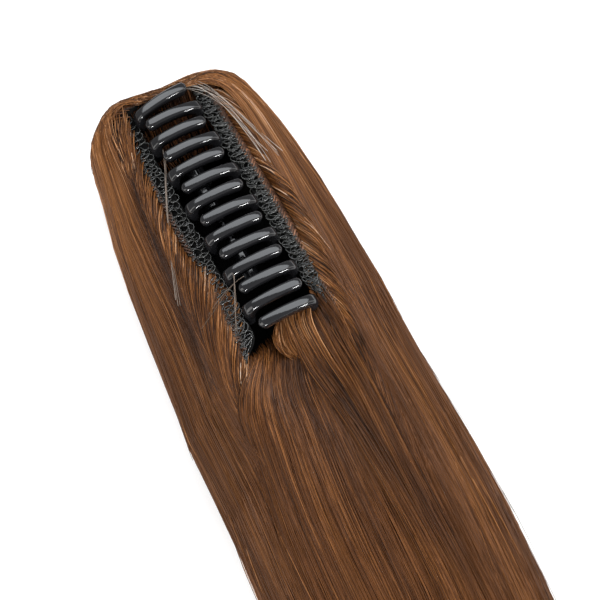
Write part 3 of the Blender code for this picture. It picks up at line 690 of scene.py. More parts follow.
def layStrands(name, rng, route, tone, toneSpread, lightTop, joined=None):
    s = strandSettings
    y = route[..., 0]
    soft = s["softEnd"]
    y = np.where(y > crownEnd - soft, crownEnd - soft * np.exp(-(y - crownEnd + soft) / soft), y)
    around = route[..., 1]
    count, steps = y.shape
    gone = np.cumsum(np.hypot(np.diff(y, axis=1, prepend=y[:, :1]),
                              halfOutline * np.diff(around, axis=1, prepend=around[:, :1])), 1)
    free = smooth(gone / s["held"])
    for size, along, turns in s["sharedSway"]:
        around = around + free * size * np.sin(y / along + turns * around)
    around = around + free * wave(rng, count, y, *s["ownSway"])
    around = np.clip(around, -s["furthest"], s["furthest"])
    own = rng.uniform(*s["lift"], (count, 1)) + wave(rng, count, y, *s["liftSway"])
    top = np.interp(-y, hairRows[:, 0], hairRows[:, 3])
    gather, begin, over, few = s["gather"]
    inward = gather * rng.random((count, 1)) ** few * top * smooth((clipEndY - begin - y) / over)
    points = surfacePoint(y, around)
    normals = surfaceNormal(y, around)
    points = points + normals * (relief(y, around) + route[..., 2] + own - inward)[..., None]
    points[..., 2] = np.maximum(points[..., 2], rng.uniform(*s["lowest"], (count, 1)))
    # painted highlight: the hair is painted lighter towards its top
    begin, over = s["topHighlightFrom"]
    # painted shade: the hair is painted darker in the hollows
    shade = lightTop * smooth((y - begin) / over) - s["paintedHollowShade"] * np.maximum(hollow(y, around), 0)
    for size, turns, along, start in s["bands"]:
        shade = shade + size * np.sin(around * turns + y / along + start)
    far, more, over = s["contrast"]
    contrast = toneSpread * (far + more * np.exp(-gone / over))
    tones = np.minimum(tone + shade + contrast * rng.standard_normal((count, 1)), s["palest"])
    share = np.linspace(0.0, 1.0, steps)[None]
    (tip, least), (root, first) = s["thinTip"], s["thinRoot"]
    thin = np.clip((1 - share) / tip, least, 1.0) * np.clip(share / root + first, 0.0, 1.0)
    width = rng.uniform(*s["halfWidth"], (count, 1)) * thin
    thick = s["halfThick"] * (0.5 + 0.5 * thin)
    piece = sweep(name, inWorld(points), normals, width * mm, thick * mm, hairLook, tones)
    finishHair(piece, count, joined)


# Crown hair: fans out from the clip's upper end, goes round one side and runs down it

crownSettings = {
    "strands": 1060, "fanSteps": 11, "tailSteps": 11,
    "startY": (50.5, 54.5), "startAround": (-0.02, 0.16), "startLift": (0.0, 1.6),
    "loose": 1.0,  # mm
    "innerShare": 0.12, "closeFrom": (30.0, 75.0),  # how much of the hair closes in; from which y, over which mm
    "tone": 0.48, "toneSpread": 0.09, "lightTop": 0.12,
    # for the inner and the outer hair of each side: how far over the end it is drawn, how far round it reaches and
    # where it has come to its side; then how far the inner hair comes back in beside the clip
    "sides": {
        "Left": {"side": -1, "seed": 21, "overEnd": (55.0, 69.0), "reach": (0.37, 0.985), "sideY": (34.0, 10.0),
                 "closeIn": 0.04},
        "Right": {"side": 1, "seed": 22, "overEnd": (51.0, 70.0), "reach": (0.275, 0.985), "sideY": (24.0, 10.0),
                  "closeIn": 0.0},
    },
}


def buildCrownHair(name, s):
    rng = np.random.default_rng(s["seed"])
    count = s["strands"]
    rank = rng.random(count)
    final = between(s["reach"], rank)
    over = between(s["overEnd"], rank) + rng.normal(0, s["loose"], count)
    route = bezier((
        corner(count, rng.uniform(*s["startY"], count), rng.uniform(*s["startAround"], count),
               rng.uniform(*s["startLift"], count)),
        corner(count, over, 0.14 + 0.4 * final, 0.7),
        corner(count, over - 1.5, 0.9 * final + 0.06, 0.4),
        corner(count, between(s["sideY"], rank), final, 0.2)), s["fanSteps"])
    route = runDown(route, tipPlaces(rng, count), s["tailSteps"])
    inner = np.exp(-(final[:, None] - s["reach"][0]) / s["innerShare"])
    begin, length = s["closeFrom"]
    route[..., 1] -= s["closeIn"] * inner * smooth((begin - route[..., 0]) / length)
    route[..., 1] *= s["side"]
    layStrands(name, rng, route, s["tone"], s["toneSpread"], s["lightTop"])


for word, own in crownSettings["sides"].items():
    buildCrownHair("crownHair" + word, crownSettings | own)


# End wrap: hair that falls over the end of the crown, down to the surface

wrapSettings = {
    "strands": 700, "steps": 16,
    "centre": (3.0, 40.0, 0.5),  # mm
    "start": (34.0, 70.0), "end": 1.5,  # degrees above the surface, from there
    "spread": 64.0, "outward": 14.0, "sway": 3.0,
    "lift": (0.5, 1.7), "lowest": 0.4, "halfWidth": (0.15, 0.32), "halfThick": 0.13,  # mm
    "tone": 0.5, "toneSpread": 0.07,
}


def buildEndWrap(s):
    rng = np.random.default_rng(25)
    count, steps = s["strands"], s["steps"]
    centre = Vector(inWorld(s["centre"]))
    spread = rng.uniform(-s["spread"], s["spread"], count)
    start = rng.uniform(*s["start"], count)
    sway = rng.normal(0, s["sway"], count)
    lift = rng.uniform(*s["lift"], count) * mm
    points = np.zeros((count, steps, 3))
    normals = np.zeros((count, steps, 3))
    for i in range(count):
        for k, share in enumerate(np.linspace(0.0, 1.0, steps)):
            rise = math.radians(start[i] + (s["end"] - start[i]) * share)
            turn = math.radians(spread[i] * (1 + s["outward"] / s["spread"] * share**2)
                                + sway[i] * math.sin(share * 4 + i))
            out = Vector((math.cos(rise) * math.sin(turn), math.cos(rise) * math.cos(turn), math.sin(rise)))
            place = hairShape.ray_cast(centre + out * 0.1, -out)[0]
            points[i, k] = place + out * lift[i] * min(1.0, 0.2 + share * 3)
            normals[i, k] = out
    points[..., 2] = np.maximum(points[..., 2], s["lowest"] * mm)
    tones = s["tone"] + s["toneSpread"] * rng.standard_normal((count, 1))
    width = rng.uniform(*s["halfWidth"], (count, 1)) * mm
    finishHair(sweep("crownEndHair", points, normals, width, s["halfThick"] * mm, hairLook, tones), count)


buildEndWrap(wrapSettings)


# The nets' form: a slope beside each comb, that the tracks and the hair's roots lie on too

netSettings = {
    "innerX": 12.9, "innerHeight": 48.3, "slope": 25.0, "width": 8.0, "bow": 1.0, "halfLength": 51.4,
    "facing": (0.42, 0.9),  # outward and up
    "rows": 4, "loop": 2.5, "loopLong": 1.25, "loopWide": 1.3, "loopHigh": 0.8, "thread": 0.24,
    "stepsForLoop": 13, "rowPhase": 2.3, "highPhase": 0.8,
    "wander": (((5, 9), 0.7), ((9, 40), 1.6)), "rowSway": ((8, 30), 0.4),
    # how much the loops differ: in size, along, across and up
    "tangle": (0.28, 0.25, 0.3, 0.3),
    # the last one here is painted shade: the mm over which the loops darken towards the net's lower end
    "tone": 0.35, "toneSpread": 0.35, "endShadeOver": 16.0,
    "groundSteps": 90, "groundThick": 0.5, "groundSunk": 0.2, "groundBow": 0.6,
    # past the comb's end, over how much it narrows to a point, where that lies across, how far out its loops go
    "ends": {"right": {"flap": 0.0, "narrows": 16.0, "point": 1.5, "loopsTo": 4.6},
             "left": {"flap": 6.0, "narrows": 9.0, "point": 7.0, "loopsTo": 8.0}},
}


def netPoint(side, across, y, up, s):
    slope = math.radians(s["slope"])
    out = s["bow"] * np.sin(np.clip(across / s["width"], 0, 1) * math.pi) + up
    x = s["innerX"] + across * math.cos(slope) + out * math.sin(slope)
    z = s["innerHeight"] - across * math.sin(slope) + out * math.cos(slope)
    return np.stack(np.broadcast_arrays(side * x, y, z), -1)


def netNormal(side):
    outward, up = netSettings["facing"]
    return np.array([side * outward, 0.0, up])


# Net hair: sewn on in bunches along each track, over the edge of the clip's room and down the tail

netHairSettings = {
    "strands": 1000, "steps": 22,
    "rootY": (-51.0, 51.5), "bunch": 2.2, "bunchSpread": 0.5,  # mm along the track
    # where along the clip and how far out, mm: it covers the lower end of the net
    "rootX": ((-52.0, 14.0), (-40.0, 16.0), (-28.0, 18.3), (-17.0, 20.6), (52.0, 20.6)),
    "rootSpread": 0.0, "spreadFrom": (8.0, 20.0), "rootLift": 0.9,  # mm above the net
    "tucked": (-50.0, -42.0), "tuckedUnder": 2.4,  # and how much lower it is at the net's lower end
    "riseTo": 56.0, "riseOver": 6.0,  # mm, above this the roots lie on the crown's hair
    "fall": (3.4, 1.4),  # how far from its root it comes down to the hair, and how steeply
    "rootSunk": 0.4, "hiddenSunk": 0.5, "allSunk": 0.2,
    "growth": 1.24,  # of the steps along a strand
    "reach": (0.275, 0.5), "reachSpread": 0.012, "leastReach": 0.01,
    "leaving": 0.55,  # mm sideways for each mm down, where it leaves the track
    "leavingSpread": (0.8, 1.2), "shortestBend": 5.0,
    "closeIn": 0.17, "innerShare": 0.08, "closeFrom": (1.0, 70.0),  # mm past the clip's lower end, over which mm
    "crest": 0.9, "crestAt": (8.0, 6.0),  # how high it arches over the net's edge; how far from the root, how wide
    "bunchHigh": 0.55, "bunchLong": 16.0,
    "shown": (6.0, 22.0),  # mm, below the first it stands in bunches, above the second it is hidden
    "tone": 0.47, "toneSpread": 0.085, "lightTop": 0.06,
}


def buildNetHair(name, side, seed, s):
    rng = np.random.default_rng(seed)
    count, steps = s["strands"], s["steps"]
    low, high = s["rootY"]
    bunch = rng.integers(0, int((high - low) / s["bunch"]) + 1, count)
    fromBunch = rng.normal(0, s["bunchSpread"], count)
    rootY = low + s["bunch"] * bunch + fromBunch
    lowest, highest = netHairSettings["rootY"]
    rank = (rootY - lowest) / (highest - lowest)
    rootX = np.interp(rootY, *zip(*s["rootX"]))
    begin, over = s["spreadFrom"]
    rootX = rootX + s["rootSpread"] * rng.random(count) * smooth((rootY - begin) / over)
    foot, head = s["tucked"]
    rootLift = s["rootLift"] - s["tuckedUnder"] * (1 - smooth((rootY - foot) / (head - foot)))
    rootZ = netPoint(1, rootX - netSettings["innerX"], rootY, rootLift, netSettings)[:, 2]
    root = np.abs(aroundAt(rootY, side * rootX))
    final = between(s["reach"], rank) + rng.normal(0, s["reachSpread"], count)
    final = np.maximum(final, root + s["leastReach"])
    tipY = rootY - rng.uniform(*s["length"], count) if "length" in s else tipPlaces(rng, count)
    gaps = s["growth"] ** np.arange(steps - 1)
    share = np.concatenate([[0.0], np.cumsum(gaps) / gaps.sum()])[None]
    gone = share * (rootY - tipY)[:, None]
    y = rootY[:, None] - gone
    # the lower it is rooted, the nearer to the track it runs, and the sooner it has turned down the tail
    bend = np.maximum(halfOutline * (final - root) / s["leaving"], s["shortestBend"])[:, None]
    bend = bend * rng.uniform(*s["leavingSpread"], (count, 1))
    around = root[:, None] + (final - root)[:, None] * (1 - np.exp(-gone / bend))
    inner = np.exp(-np.maximum(final[:, None] - s["reach"][0], 0) / s["innerShare"])
    begin, over = s["closeFrom"]
    around = around - s["closeIn"] * inner * smooth((clipEndY - begin - y) / over)
    onNet = smooth((s["riseTo"] - rootY) / s["riseOver"])
    rootRise = ((rootZ - surfacePoint(rootY, side * root)[:, 2]) * onNet)[:, None] - s["rootSunk"]
    fully, hidden = s["shown"]
    shown = smooth((hidden - rootY) / (hidden - fully))[:, None]
    bunched = np.exp(-((fromBunch[:, None] / s["bunchSpread"]) ** 2)) * np.exp(-gone / s["bunchLong"])
    middle, width = s["crestAt"]
    crest = s["crest"] * np.exp(-(((gone - middle) / width) ** 2))
    length, steep = s["fall"]
    lift = rootRise * np.exp(-((gone / length) ** steep)) - s["allSunk"]
    lift = lift + shown * (crest + s["bunchHigh"] * bunched) - s["hiddenSunk"] * (1 - shown)
    route = np.stack([y, side * around, lift], -1)
    joined = None
    if "blendX" in s:  # short hair: its comb and two places between the comb's net and the hair body are passed on, but it is not bent between them
        comb = "left_side" if side < 0 else "right_side"
        joined = (comb, *(inWorld((side * x, 0.0, s["blendHeight"])) for x in s["blendX"]))
    layStrands(name, rng, route, s["tone"], s["toneSpread"], s["lightTop"], joined)


leftNetHair = dict(netHairSettings, reach=(0.36, 0.37), closeIn=0.14, crest=1.3, leaving=0.5, shown=(60.0, 70.0),
                   rootSpread=7.0, rootY=(-51.0, 54.0),
                   rootX=((-52.0, 17.6), (-46.0, 17.6), (-35.0, 15.9), (-20.0, 16.4), (-9.0, 19.8),
                          (4.0, 19.6), (22.0, 18.0), (38.0, 16.0), (50.0, 13.5), (57.0, 11.5)))
buildNetHair("netHairLeft", -1, 31, leftNetHair)
buildNetHair("netHairRight", 1, 32, netHairSettings)
rootHair = {"strands": 520, "steps": 8, "length": (9.0, 22.0), "growth": 1.12, "toneSpread": 0.1, "rootLift": 1.3,
            "blendX": (16.0, 27.0), "blendHeight": 46.0}
buildNetHair("rootHairLeft", -1, 33, dict(leftNetHair, **rootHair, rootY=(-51.0, 14.0), tone=0.5, crest=1.7))
buildNetHair("rootHairRight", 1, 34, dict(netHairSettings, **rootHair, rootY=(-51.0, 18.0), tone=0.55, crest=1.4))


# End hair: comes out from under the lower end of the clip, arches over and runs down the tail

endHairSettings = {
    "strands": 900, "archSteps": 9, "tailSteps": 11,
    "rootY": (-50.0, -45.5), "rootAround": (-0.17, 0.2), "rootLift": (1.0, 7.0),
    "reach": (-0.34, 0.2), "loose": 0.01, "arch": 7.0, "archAt": 0.1, "archWidth": 0.07,
    "leftLower": 9.0,  # mm that its left side is rooted lower
    "tone": 0.48, "toneSpread": 0.06,
}


def buildEndHair(s):
    rng = np.random.default_rng(41)
    count = s["strands"]
    rank = rng.random(count)
    start = between(s["rootAround"], rank) + rng.normal(0, s["loose"], count)
    final = between(s["reach"], rank) + rng.normal(0, s["loose"], count)
    arch = s["arch"] * np.exp(-(((start - s["archAt"]) / s["archWidth"]) ** 2))
    route = bezier((
        corner(count, rng.uniform(*s["rootY"], count) - s["leftLower"] * (1 - rank) ** 2, start,
               rng.uniform(*s["rootLift"], count) * rank),
        corner(count, -56.0, start + 0.01, 3.0 + arch),
        corner(count, -66.0, 0.75 * final + 0.25 * start, 1.0 + arch),
        corner(count, -86.0, final, 0.3)), s["archSteps"])
    route = runDown(route, tipPlaces(rng, count), s["tailSteps"])
    layStrands("endHair", rng, route, s["tone"], s["toneSpread"], 0.0)


buildEndHair(endHairSettings)


# Two tufts that roll out from under the last tooth: a small loop, and a larger one beside it

tuftSettings = {"archSteps": 11, "tailSteps": 11, "loose": (0.5, 0.004, 0.5), "toneSpread": 0.085, "paler": 0.12}

# Corners as (y, around, lift) for the first and the last strand of each
tufts = {
    "loopTuft": {"strands": 170, "seed": 45, "tone": 0.53,
                 "first": ((-46.0, 0.05, 8.0), (-47.0, -0.11, 10.0), (-57.0, -0.12, 7.0), (-61.0, 0.01, 1.5)),
                 "last": ((-46.5, 0.08, 8.0), (-50.0, 0.03, 12.5), (-60.0, 0.0, 9.0), (-72.0, 0.06, 1.5))},
    "mainTuft": {"strands": 230, "seed": 46, "tone": 0.45,
                 "first": ((-47.0, 0.07, 8.0), (-50.0, 0.03, 13.0), (-60.0, 0.0, 9.0), (-84.0, 0.03, 1.4)),
                 "last": ((-47.0, 0.17, 7.5), (-53.0, 0.14, 11.0), (-63.0, 0.11, 6.5), (-88.0, 0.12, 1.0))},
}


def buildTuft(name, s):
    rng = np.random.default_rng(s["seed"])
    count = s["strands"]
    rank = rng.random((count, 1))
    corners = [np.array(first) * (1 - rank) + np.array(last) * rank + rng.normal(0, 1, (count, 3)) * s["loose"]
               for first, last in zip(s["first"], s["last"])]
    route = runDown(bezier(corners, s["archSteps"]), tipPlaces(rng, count), s["tailSteps"])
    paler = s["paler"] * smooth((route[..., 0] + 90) / 30)  # painted highlight where it rolls out
    layStrands(name, rng, route, s["tone"] + paler, s["toneSpread"], 0.0)


for name, tuft in tufts.items():
    buildTuft(name, tuftSettings | tuft)


# Hair inside the clip's room, at its upper end, that shows between the first teeth

innerSettings = {
    "strands": 420, "steps": 9, "startX": (-25.0, 29.0), "startY": (52.0, 54.0), "fall": (8.0, 22.0),
    "halfWidth": (0.12, 0.3), "halfThick": 0.12, "tone": 0.4, "toneSpread": 0.1,
}


def buildInnerHair(s):
    rng = np.random.default_rng(47)
    count = s["strands"]
    x = rng.uniform(*s["startX"], count)
    outer = smooth((np.abs(x) - 11) / 6)
    fall = rng.uniform(*s["fall"], count) * (1 - 0.65 * outer)
    startY = rng.uniform(*s["startY"], count)
    top = surfacePoint(startY, aroundAt(startY, x))[:, 2] - rng.uniform(-0.4, 1.0, count)
    corners = ((x, startY, top), (x * 1.02, 48.5 + 0 * x, top - 1.0 - 1.5 * (1 - outer)),
               (x * 0.97 + rng.normal(0, 1.5, count), 47.0 - 0.4 * fall, 46.5 - 5 * (1 - outer)),
               (x * 0.94 + rng.normal(0, 2.0, count), 48.0 - fall, 45.0 - 10 * (1 - outer)))
    points = bezier([np.stack(c, -1) for c in corners], s["steps"])
    tones = s["tone"] + s["toneSpread"] * rng.standard_normal((count, 1))
    width = rng.uniform(*s["halfWidth"], (count, 1)) * mm
    finishHair(sweep("innerHair", inWorld(points), straightUp, width, s["halfThick"] * mm, hairLook, tones), count)


buildInnerHair(innerSettings)


# Pale loose hairs: some start at the crown and cross the first tooth's end and the net, others lie on the left net

paleSettings = {
    "steps": 16, "halfWidth": (0.06, 0.11), "toneSpread": 0.12, "flatter": 0.25,
    # how many, how light, how far apart in mm, then four corners in mm from the clip's place
    "groups": (
        (9, 0.66, 2.2, ((8.0, 54.0, 50.5), (19.0, 46.0, 54.0), (23.5, 36.0, 50.5), (25.5, 10.0, 49.5))),
        (3, 0.3, 1.0, ((-9.0, 29.5, 52.0), (-14.0, 17.0, 51.0), (-20.5, 6.0, 49.5), (-30.0, -26.0, 47.5))),
        (2, 0.3, 0.6, ((-10.0, -27.5, 55.0), (-12.0, -33.0, 54.0), (-15.0, -39.0, 51.0), (-18.5, -45.0, 49.0))),
        (2, 0.3, 0.8, ((-7.5, -31.0, 55.0), (-13.0, -31.0, 53.0), (-19.0, -33.0, 50.0), (-28.0, -39.0, 47.5))),
    ),
}


def buildPaleHairs(s):
    rng = np.random.default_rng(48)
    paths, tones = [], []
    for count, tone, apart, corners in s["groups"]:
        shifts = rng.normal(0, 1, (4, count, 3)) * (1.0, 1.0, s["flatter"]) * apart
        paths.append(bezier([np.array(corner) + shift for corner, shift in zip(corners, shifts)], s["steps"]))
        tones.append(tone + rng.normal(0, s["toneSpread"], (count, 1)))
    points = np.concatenate(paths)
    count = len(points)
    width = rng.uniform(*s["halfWidth"], (count, 1)) * mm
    piece = sweep("paleHairs", inWorld(points), straightUp, width, width, paleLook, np.concatenate(tones), sides=4)
    finishHair(piece, count)


buildPaleHairs(paleSettings)


# Stray hairs whose ends stand a little off the sides

straySettings = {
    "strands": 260, "steps": 10, "startY": (-330.0, 50.0), "around": (0.35, 0.9), "drift": 0.03,
    "length": (22.0, 70.0), "lift": (0.3, 1.7), "tone": 0.52, "toneSpread": 0.08, "lightTop": 0.1,
}


def buildStrays(s):
    rng = np.random.default_rng(49)
    count = s["strands"]
    share = np.linspace(0.0, 1.0, s["steps"])[None]
    y = rng.uniform(*s["startY"], count)[:, None] - rng.uniform(*s["length"], count)[:, None] * share
    around = rng.choice([-1, 1], count)[:, None] * rng.uniform(*s["around"], count)[:, None]
    around = around + rng.normal(0, s["drift"], (count, 1)) * share
    lift = rng.uniform(*s["lift"], (count, 1)) * share**1.5
    layStrands("strayHairs", rng, np.stack([y, around, lift], -1), s["tone"], s["toneSpread"], s["lightTop"])


buildStrays(straySettings)


# Combs: the two halves of the claw, each with its teeth, wall and finger grip

combSettings = {  # mm
    "teeth": 7, "pitch": 15.0, "endMargin": 2.8, "halfWidth": 13.0, "height": 23.0,
    "toothWidth": 4.2, "toothThick": 4.4, "corner": 1.25, "rootWidth": 5.8, "rootCorner": 2.0,
    "reach": 11.1, "arch": 1.7, "shoulderRun": 3.6,
    "wallSteps": 4, "bendSteps": 10, "archSteps": 14, "tipSteps": 6,
    "topLean": 0.14,  # along the clip for each mm across it, of the left comb's uppermost tooth
    "wall": 2.0, "wallTop": 14.5, "webRadius": 4.6, "webAngles": (108, 83, 58),
    "gripLength": 22.5, "gripSpan": 44.0, "gripAngle": 118.0,
    "boreRadius": 1.5, "knuckleRadius": 3.0, "knuckleWidth": 9.0, "springRoom": 15.0, "runningGap": 0.3,
    "sharpFrom": 35,  # degrees
}


# (across, up) points on a rectangle with round corners
def roundedRing(halfWide, halfThick, corner, sides=28):
    corner = min(corner, halfWide, halfThick)
    points = []
    for k in range(sides):
        turn = 2 * math.pi * (k + 0.5) / sides
        c, s = math.cos(turn), math.sin(turn)
        points.append((math.copysign(halfWide - corner, c) + corner * c,
                       math.copysign(halfThick - corner, s) + corner * s))
    return points


# Rows of (middle line point, normal, width, corner radius, share of the full size), root to tip
def toothPath(s):
    shoulderX = s["halfWidth"] - s["shoulderRun"]
    chord = (shoulderX + s["reach"]) / 2
    radius = (chord**2 + s["arch"] ** 2) / (2 * s["arch"])
    middle = (shoulderX - s["reach"]) / 2
    lean = math.asin((shoulderX - middle) / radius)
    bendRadius = s["shoulderRun"] / (1 - math.sin(lean))
    bendX = s["halfWidth"] - bendRadius
    bendZ = s["height"] - s["arch"] - bendRadius * math.cos(lean)
    inset = s["toothThick"] / 2
    path = [((s["halfWidth"] - inset, z), (1.0, 0.0), s["rootWidth"], s["rootCorner"], 1.0)
            for z in np.linspace(s["wallTop"] - s["toothThick"], bendZ, s["wallSteps"])]
    for i in range(1, s["bendSteps"]):
        turn = math.pi / 2 + (lean - math.pi / 2) * i / s["bendSteps"]
        normal = (math.sin(turn), math.cos(turn))
        thinner = smooth(i / s["bendSteps"])
        path.append(((bendX + normal[0] * (bendRadius - inset), bendZ + normal[1] * (bendRadius - inset)), normal,
                     between((s["rootWidth"], s["toothWidth"]), thinner),
                     between((s["rootCorner"], s["corner"]), thinner), 1.0))
    tip = -math.asin((s["reach"] + middle) / radius)
    roundOff = s["toothWidth"] / 2 / radius
    steps = s["archSteps"]
    turns = [(lean + (tip + roundOff - lean) * i / steps, 1.0) for i in range(steps + 1)]
    turns += [(tip + roundOff * (1 - math.sin(k)), max(math.cos(k), 0.12))
              for k in np.linspace(0.25, 1.5, s["tipSteps"])]
    for turn, share in turns:
        normal = (math.sin(turn), math.cos(turn))
        path.append(((middle + normal[0] * (radius - inset), s["height"] - radius + normal[1] * (radius - inset)),
                     normal, s["toothWidth"], s["corner"], share))
    return path


def loftRings(name, rings, finish):
    rows, columns = len(rings), len(rings[0])
    index = np.arange(rows * columns).reshape(rows, columns)
    after = np.roll(index, -1, 1)
    quads = np.stack([index[:-1], after[:-1], after[1:], index[1:]], -1).reshape(-1, 4)
    caps = np.stack([index[0][::-1], index[-1]])
    points = np.array(rings, float).reshape(-1, 3) * mm + hinge
    piece = newPiece(name, points, [quads, caps], finish)
    work = bmesh.new()
    work.from_mesh(piece.data)
    bmesh.ops.recalc_face_normals(work, faces=work.faces)
    work.to_mesh(piece.data)
    work.free()
    return piece


def buildTooth(s, side, y, lean):
    rings = []
    for point, normal, width, corner, share in toothPath(s):
        ring = []
        for across, up in roundedRing(width / 2 * share, s["toothThick"] / 2 * (0.4 + 0.6 * share), corner):
            x = side * (point[0] + normal[0] * up)
            ring.append((x, y + across + lean * x, point[1] + normal[1] * up))
        rings.append(ring)
    return loftRings("tooth", rings, plasticLook)


# A bent plate's outline round a smooth middle line, with a round edge at its far end
def plateOutline(points, thickness, steps=8):
    rows = smoothTable([(i, *p) for i, p in enumerate(points)], (len(points) - 1) * steps + 1)[:, 1:]
    along = unit(np.gradient(rows, axis=0))
    normal = np.stack([-along[:, 1], along[:, 0]], -1)
    left, right = rows + normal * thickness / 2, rows - normal * thickness / 2
    turns = np.linspace(0, math.pi, 7)[1:-1]
    cap = [rows[-1] + thickness / 2 * (normal[-1] * math.cos(t) + along[-1] * math.sin(t)) for t in turns]
    return np.concatenate([left, cap, right[::-1]])


# The outline along Y, with its two ends softened
def plate(name, outline, side, low, high, soften=0.35):
    outline = np.array(outline)
    inner = outline - unit(outline - outline.mean(0)) * soften
    rings = [[(side * x, y, z) for x, z in ring]
             for y, ring in ((low, inner), (low + soften, outline), (high - soften, outline), (high, inner))]
    return loftRings(name, rings, plasticLook)


def polar(radius, degrees):
    return (radius * math.sin(math.radians(degrees)), radius * math.cos(math.radians(degrees)))


def disc(radius, sides=32):
    return [polar(radius, 360 * i / sides) for i in range(sides)]


def buildComb(name, side, s):
    halfComb = (s["teeth"] - 0.5) * s["pitch"] / 2 + s["endMargin"]
    wallX = s["halfWidth"] - s["wall"] / 2
    web = [polar(s["webRadius"], t) for t in s["webAngles"]]
    web += [(wallX * 0.72, s["wallTop"] * 0.33), (wallX, s["wallTop"] * 0.62), (wallX, s["wallTop"] - 1.0)]
    body = plate(name, plateOutline(web, s["wall"]), side, -halfComb, halfComb)
    grip = [polar(s["webRadius"], 100), polar(s["gripLength"] * 0.45, s["gripAngle"]),
            polar(s["gripLength"] - 1.0, s["gripAngle"])]
    added = [plate("grip", plateOutline(grip, s["wall"]), side, -s["gripSpan"] / 2, s["gripSpan"] / 2)]
    near = s["boreRadius"] + s["runningGap"]
    low, high = s["webAngles"][0], s["webAngles"][-1]
    arm = [polar(near, high), polar(s["webRadius"], high), polar(s["webRadius"], low), polar(near, low)]
    inner = s["springRoom"] / 2 + s["runningGap"]
    outer = inner + s["knuckleWidth"] + s["runningGap"]
    for start, end in ((inner, -side), (outer, side)):
        low, high = sorted((end * start, end * (start + s["knuckleWidth"])))
        added.append(plate("knuckle", disc(s["knuckleRadius"]), side, low, high, 0.25))
        added.append(plate("arm", arm, side, low, high, 0.2))
    first = -halfComb + s["endMargin"] + (0.0 if side > 0 else s["pitch"] / 2)
    for i in range(s["teeth"]):
        lean = s["topLean"] if side < 0 and i == s["teeth"] - 1 else 0.0
        added.append(buildTooth(s, side, first + i * s["pitch"], lean))
    joinOrCut(body, added, "UNION")
    joinOrCut(body, [plate("bore", disc(s["boreRadius"]), side, -halfComb - 2, halfComb + 2)], "DIFFERENCE")
    body.data.materials.clear()
    body.data.materials.append(plasticLook.material)
    body.data.shade_smooth()
    body.data.set_sharp_from_angle(angle=math.radians(s["sharpFrom"]))
    return body


for word, side in (("right", 1), ("left", -1)):
    finishClip(buildComb(word + "Comb", side, combSettings), word, "_jaw")

for node in ("hinge_pin", "closing_spring"):
    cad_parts[node].data.materials.clear()
    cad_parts[node].data.materials.append(steelLook.material)


# Nets: rows of crocheted loops over a dark ground, on the outer side of each comb

def buildNet(name, side, seed, s, end):
    rng = np.random.default_rng(seed)
    low, high = -s["halfLength"] - end["flap"], s["halfLength"]
    steps = int((high - low) / s["loop"] * s["stepsForLoop"])
    turn = np.linspace(0, 2 * math.pi * steps / s["stepsForLoop"], steps)[None]
    row = np.arange(s["rows"])[:, None]
    base = low + (high - low) * np.linspace(0, 1, steps)[None]
    phase = row * s["rowPhase"] + sum(wave(rng, s["rows"], base, *wander) for wander in s["wander"])
    tangle = rng.normal(0, 1, (4, s["rows"], steps // 5 + 2))  # a value for each fifth step, and lines between
    spots = np.arange(tangle.shape[2]) * 5.0
    tangle = np.array([[np.interp(np.arange(steps), spots, line) for line in part] for part in tangle])
    sizeTangle, longTangle, wideTangle, highTangle = s["tangle"]
    size = 1 + sizeTangle * tangle[0]
    y = np.maximum(base - s["loopLong"] * size * np.sin(turn + phase) + longTangle * tangle[1], low)
    across = (row + 0.5) * end["loopsTo"] / s["rows"] + s["loopWide"] * size * np.cos(turn + phase)
    across = across + wave(rng, s["rows"], base, *s["rowSway"]) + wideTangle * tangle[2]
    across = between((end["point"], across), smooth((y - low) / end["narrows"]))
    up = s["groundThick"] + s["loopHigh"] * (1 + np.sin(turn + phase + s["highPhase"])) + highTangle * tangle[3]
    paths = inWorld(netPoint(side, across, y, up, s))
    # painted shade: the loops are painted darker towards the net's lower end
    tones = np.clip(s["tone"] + s["toneSpread"] * tangle[1], 0, 1) * smooth((y - low) / s["endShadeOver"] + 0.1)
    thread = s["thread"] * mm
    normal = netNormal(side)
    loops = sweep(name, paths, normal, thread, thread, netLook, tones, sides=6)
    groundY = np.linspace(low, high, s["groundSteps"])[None]
    taper = smooth((groundY - low) / end["narrows"])
    centre = between((end["point"], s["width"] / 2), taper)
    path = inWorld(netPoint(side, centre, groundY, -s["groundSunk"], dict(s, bow=s["groundBow"])))
    halfWidth = (s["width"] / 2 + 0.2) * np.maximum(taper, 0.1) * mm
    ground = sweep(name + "Ground", path, normal, halfWidth, s["groundThick"] * mm, groundAndShadeLook, 0.0, sides=12)
    joinInto(loops, [ground])
    return loops


for word, side, seed in (("right", 1, 61), ("left", -1, 62)):
    net = buildNet(word + "Netting", side, seed, netSettings, netSettings["ends"][word])
    finishClip(net, word, "_net")


# Sewn tracks: chevron stitches over a flat core, with a thin dark cord along the edge

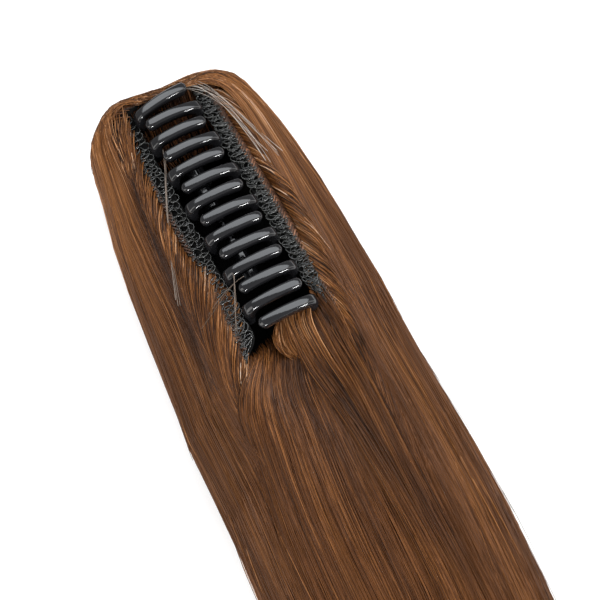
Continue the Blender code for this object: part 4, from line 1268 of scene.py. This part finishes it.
trackSettings = {  # mm
    "across": 6.9, "width": 4.2, "thick": 0.9, "rise": 0.6, "halfLength": 51.2, "steps": 110, "tone": 0.1,
    "stitch": 1.6, "thread": 0.27, "chevron": 2.2, "stitchSteps": 11, "stitchTones": (0.1, 1.0),
    "cord": 0.38, "cordGap": 0.3, "cordSway": ((3.0, 3.4), 0.12), "cordTone": 0.3,
    # the stitches are brown between these two places, and dark past them
    "brown": {"right": (-40.0, 30.0), "left": (60.0, 70.0)}, "fade": 12.0,
}


def buildTrack(name, side, seed, s, brown):
    rng = np.random.default_rng(seed)
    y = np.linspace(-s["halfLength"], s["halfLength"], s["steps"])[None]
    path = inWorld(netPoint(side, s["across"], y, s["rise"], netSettings))
    normal = netNormal(side)
    core = sweep(name, path, normal, s["width"] / 2 * mm, s["thick"] * mm, sewnLook, s["tone"], sides=10)
    count = int(2 * s["halfLength"] / s["stitch"])
    start = -s["halfLength"] + s["stitch"] * (np.arange(count)[:, None] + 0.5) + rng.normal(0, 0.12, (count, 1))
    share = np.linspace(-1, 1, s["stitchSteps"])[None]
    across = s["across"] + share * (s["width"] / 2 + 0.25)
    stitchY = start - s["chevron"] * np.abs(share) + 0.3 * share
    up = s["rise"] + s["thick"] + 0.2 - 0.55 * np.abs(share) ** 2.5  # its ends go down into the core
    paths = inWorld(netPoint(side, across, stitchY, up, netSettings))
    low, high = brown
    light = 0.04 + 0.96 * smooth((start - low) / s["fade"]) * smooth((high - start) / s["fade"])
    tones = rng.uniform(*s["stitchTones"], (count, 1)) * light
    thread = s["thread"] * mm
    stitches = sweep(name + "Stitches", paths, normal, thread * 1.5, thread, sewnLook, tones, sides=6)
    edge = s["across"] - s["width"] / 2 - s["cordGap"] + wave(rng, 1, y, *s["cordSway"])
    path = inWorld(netPoint(side, edge, y, s["rise"] + s["cordGap"], netSettings))
    cord = sweep(name + "Cord", path, normal, s["cord"] * mm, s["cord"] * mm, cordLook, s["cordTone"], sides=8)
    joinInto(core, [stitches, cord])
    return core


for word, side, seed in (("right", 1, 71), ("left", -1, 72)):
    track = buildTrack(word + "Track", side, seed, trackSettings, trackSettings["brown"][word])
    finishClip(track, word, "_track")
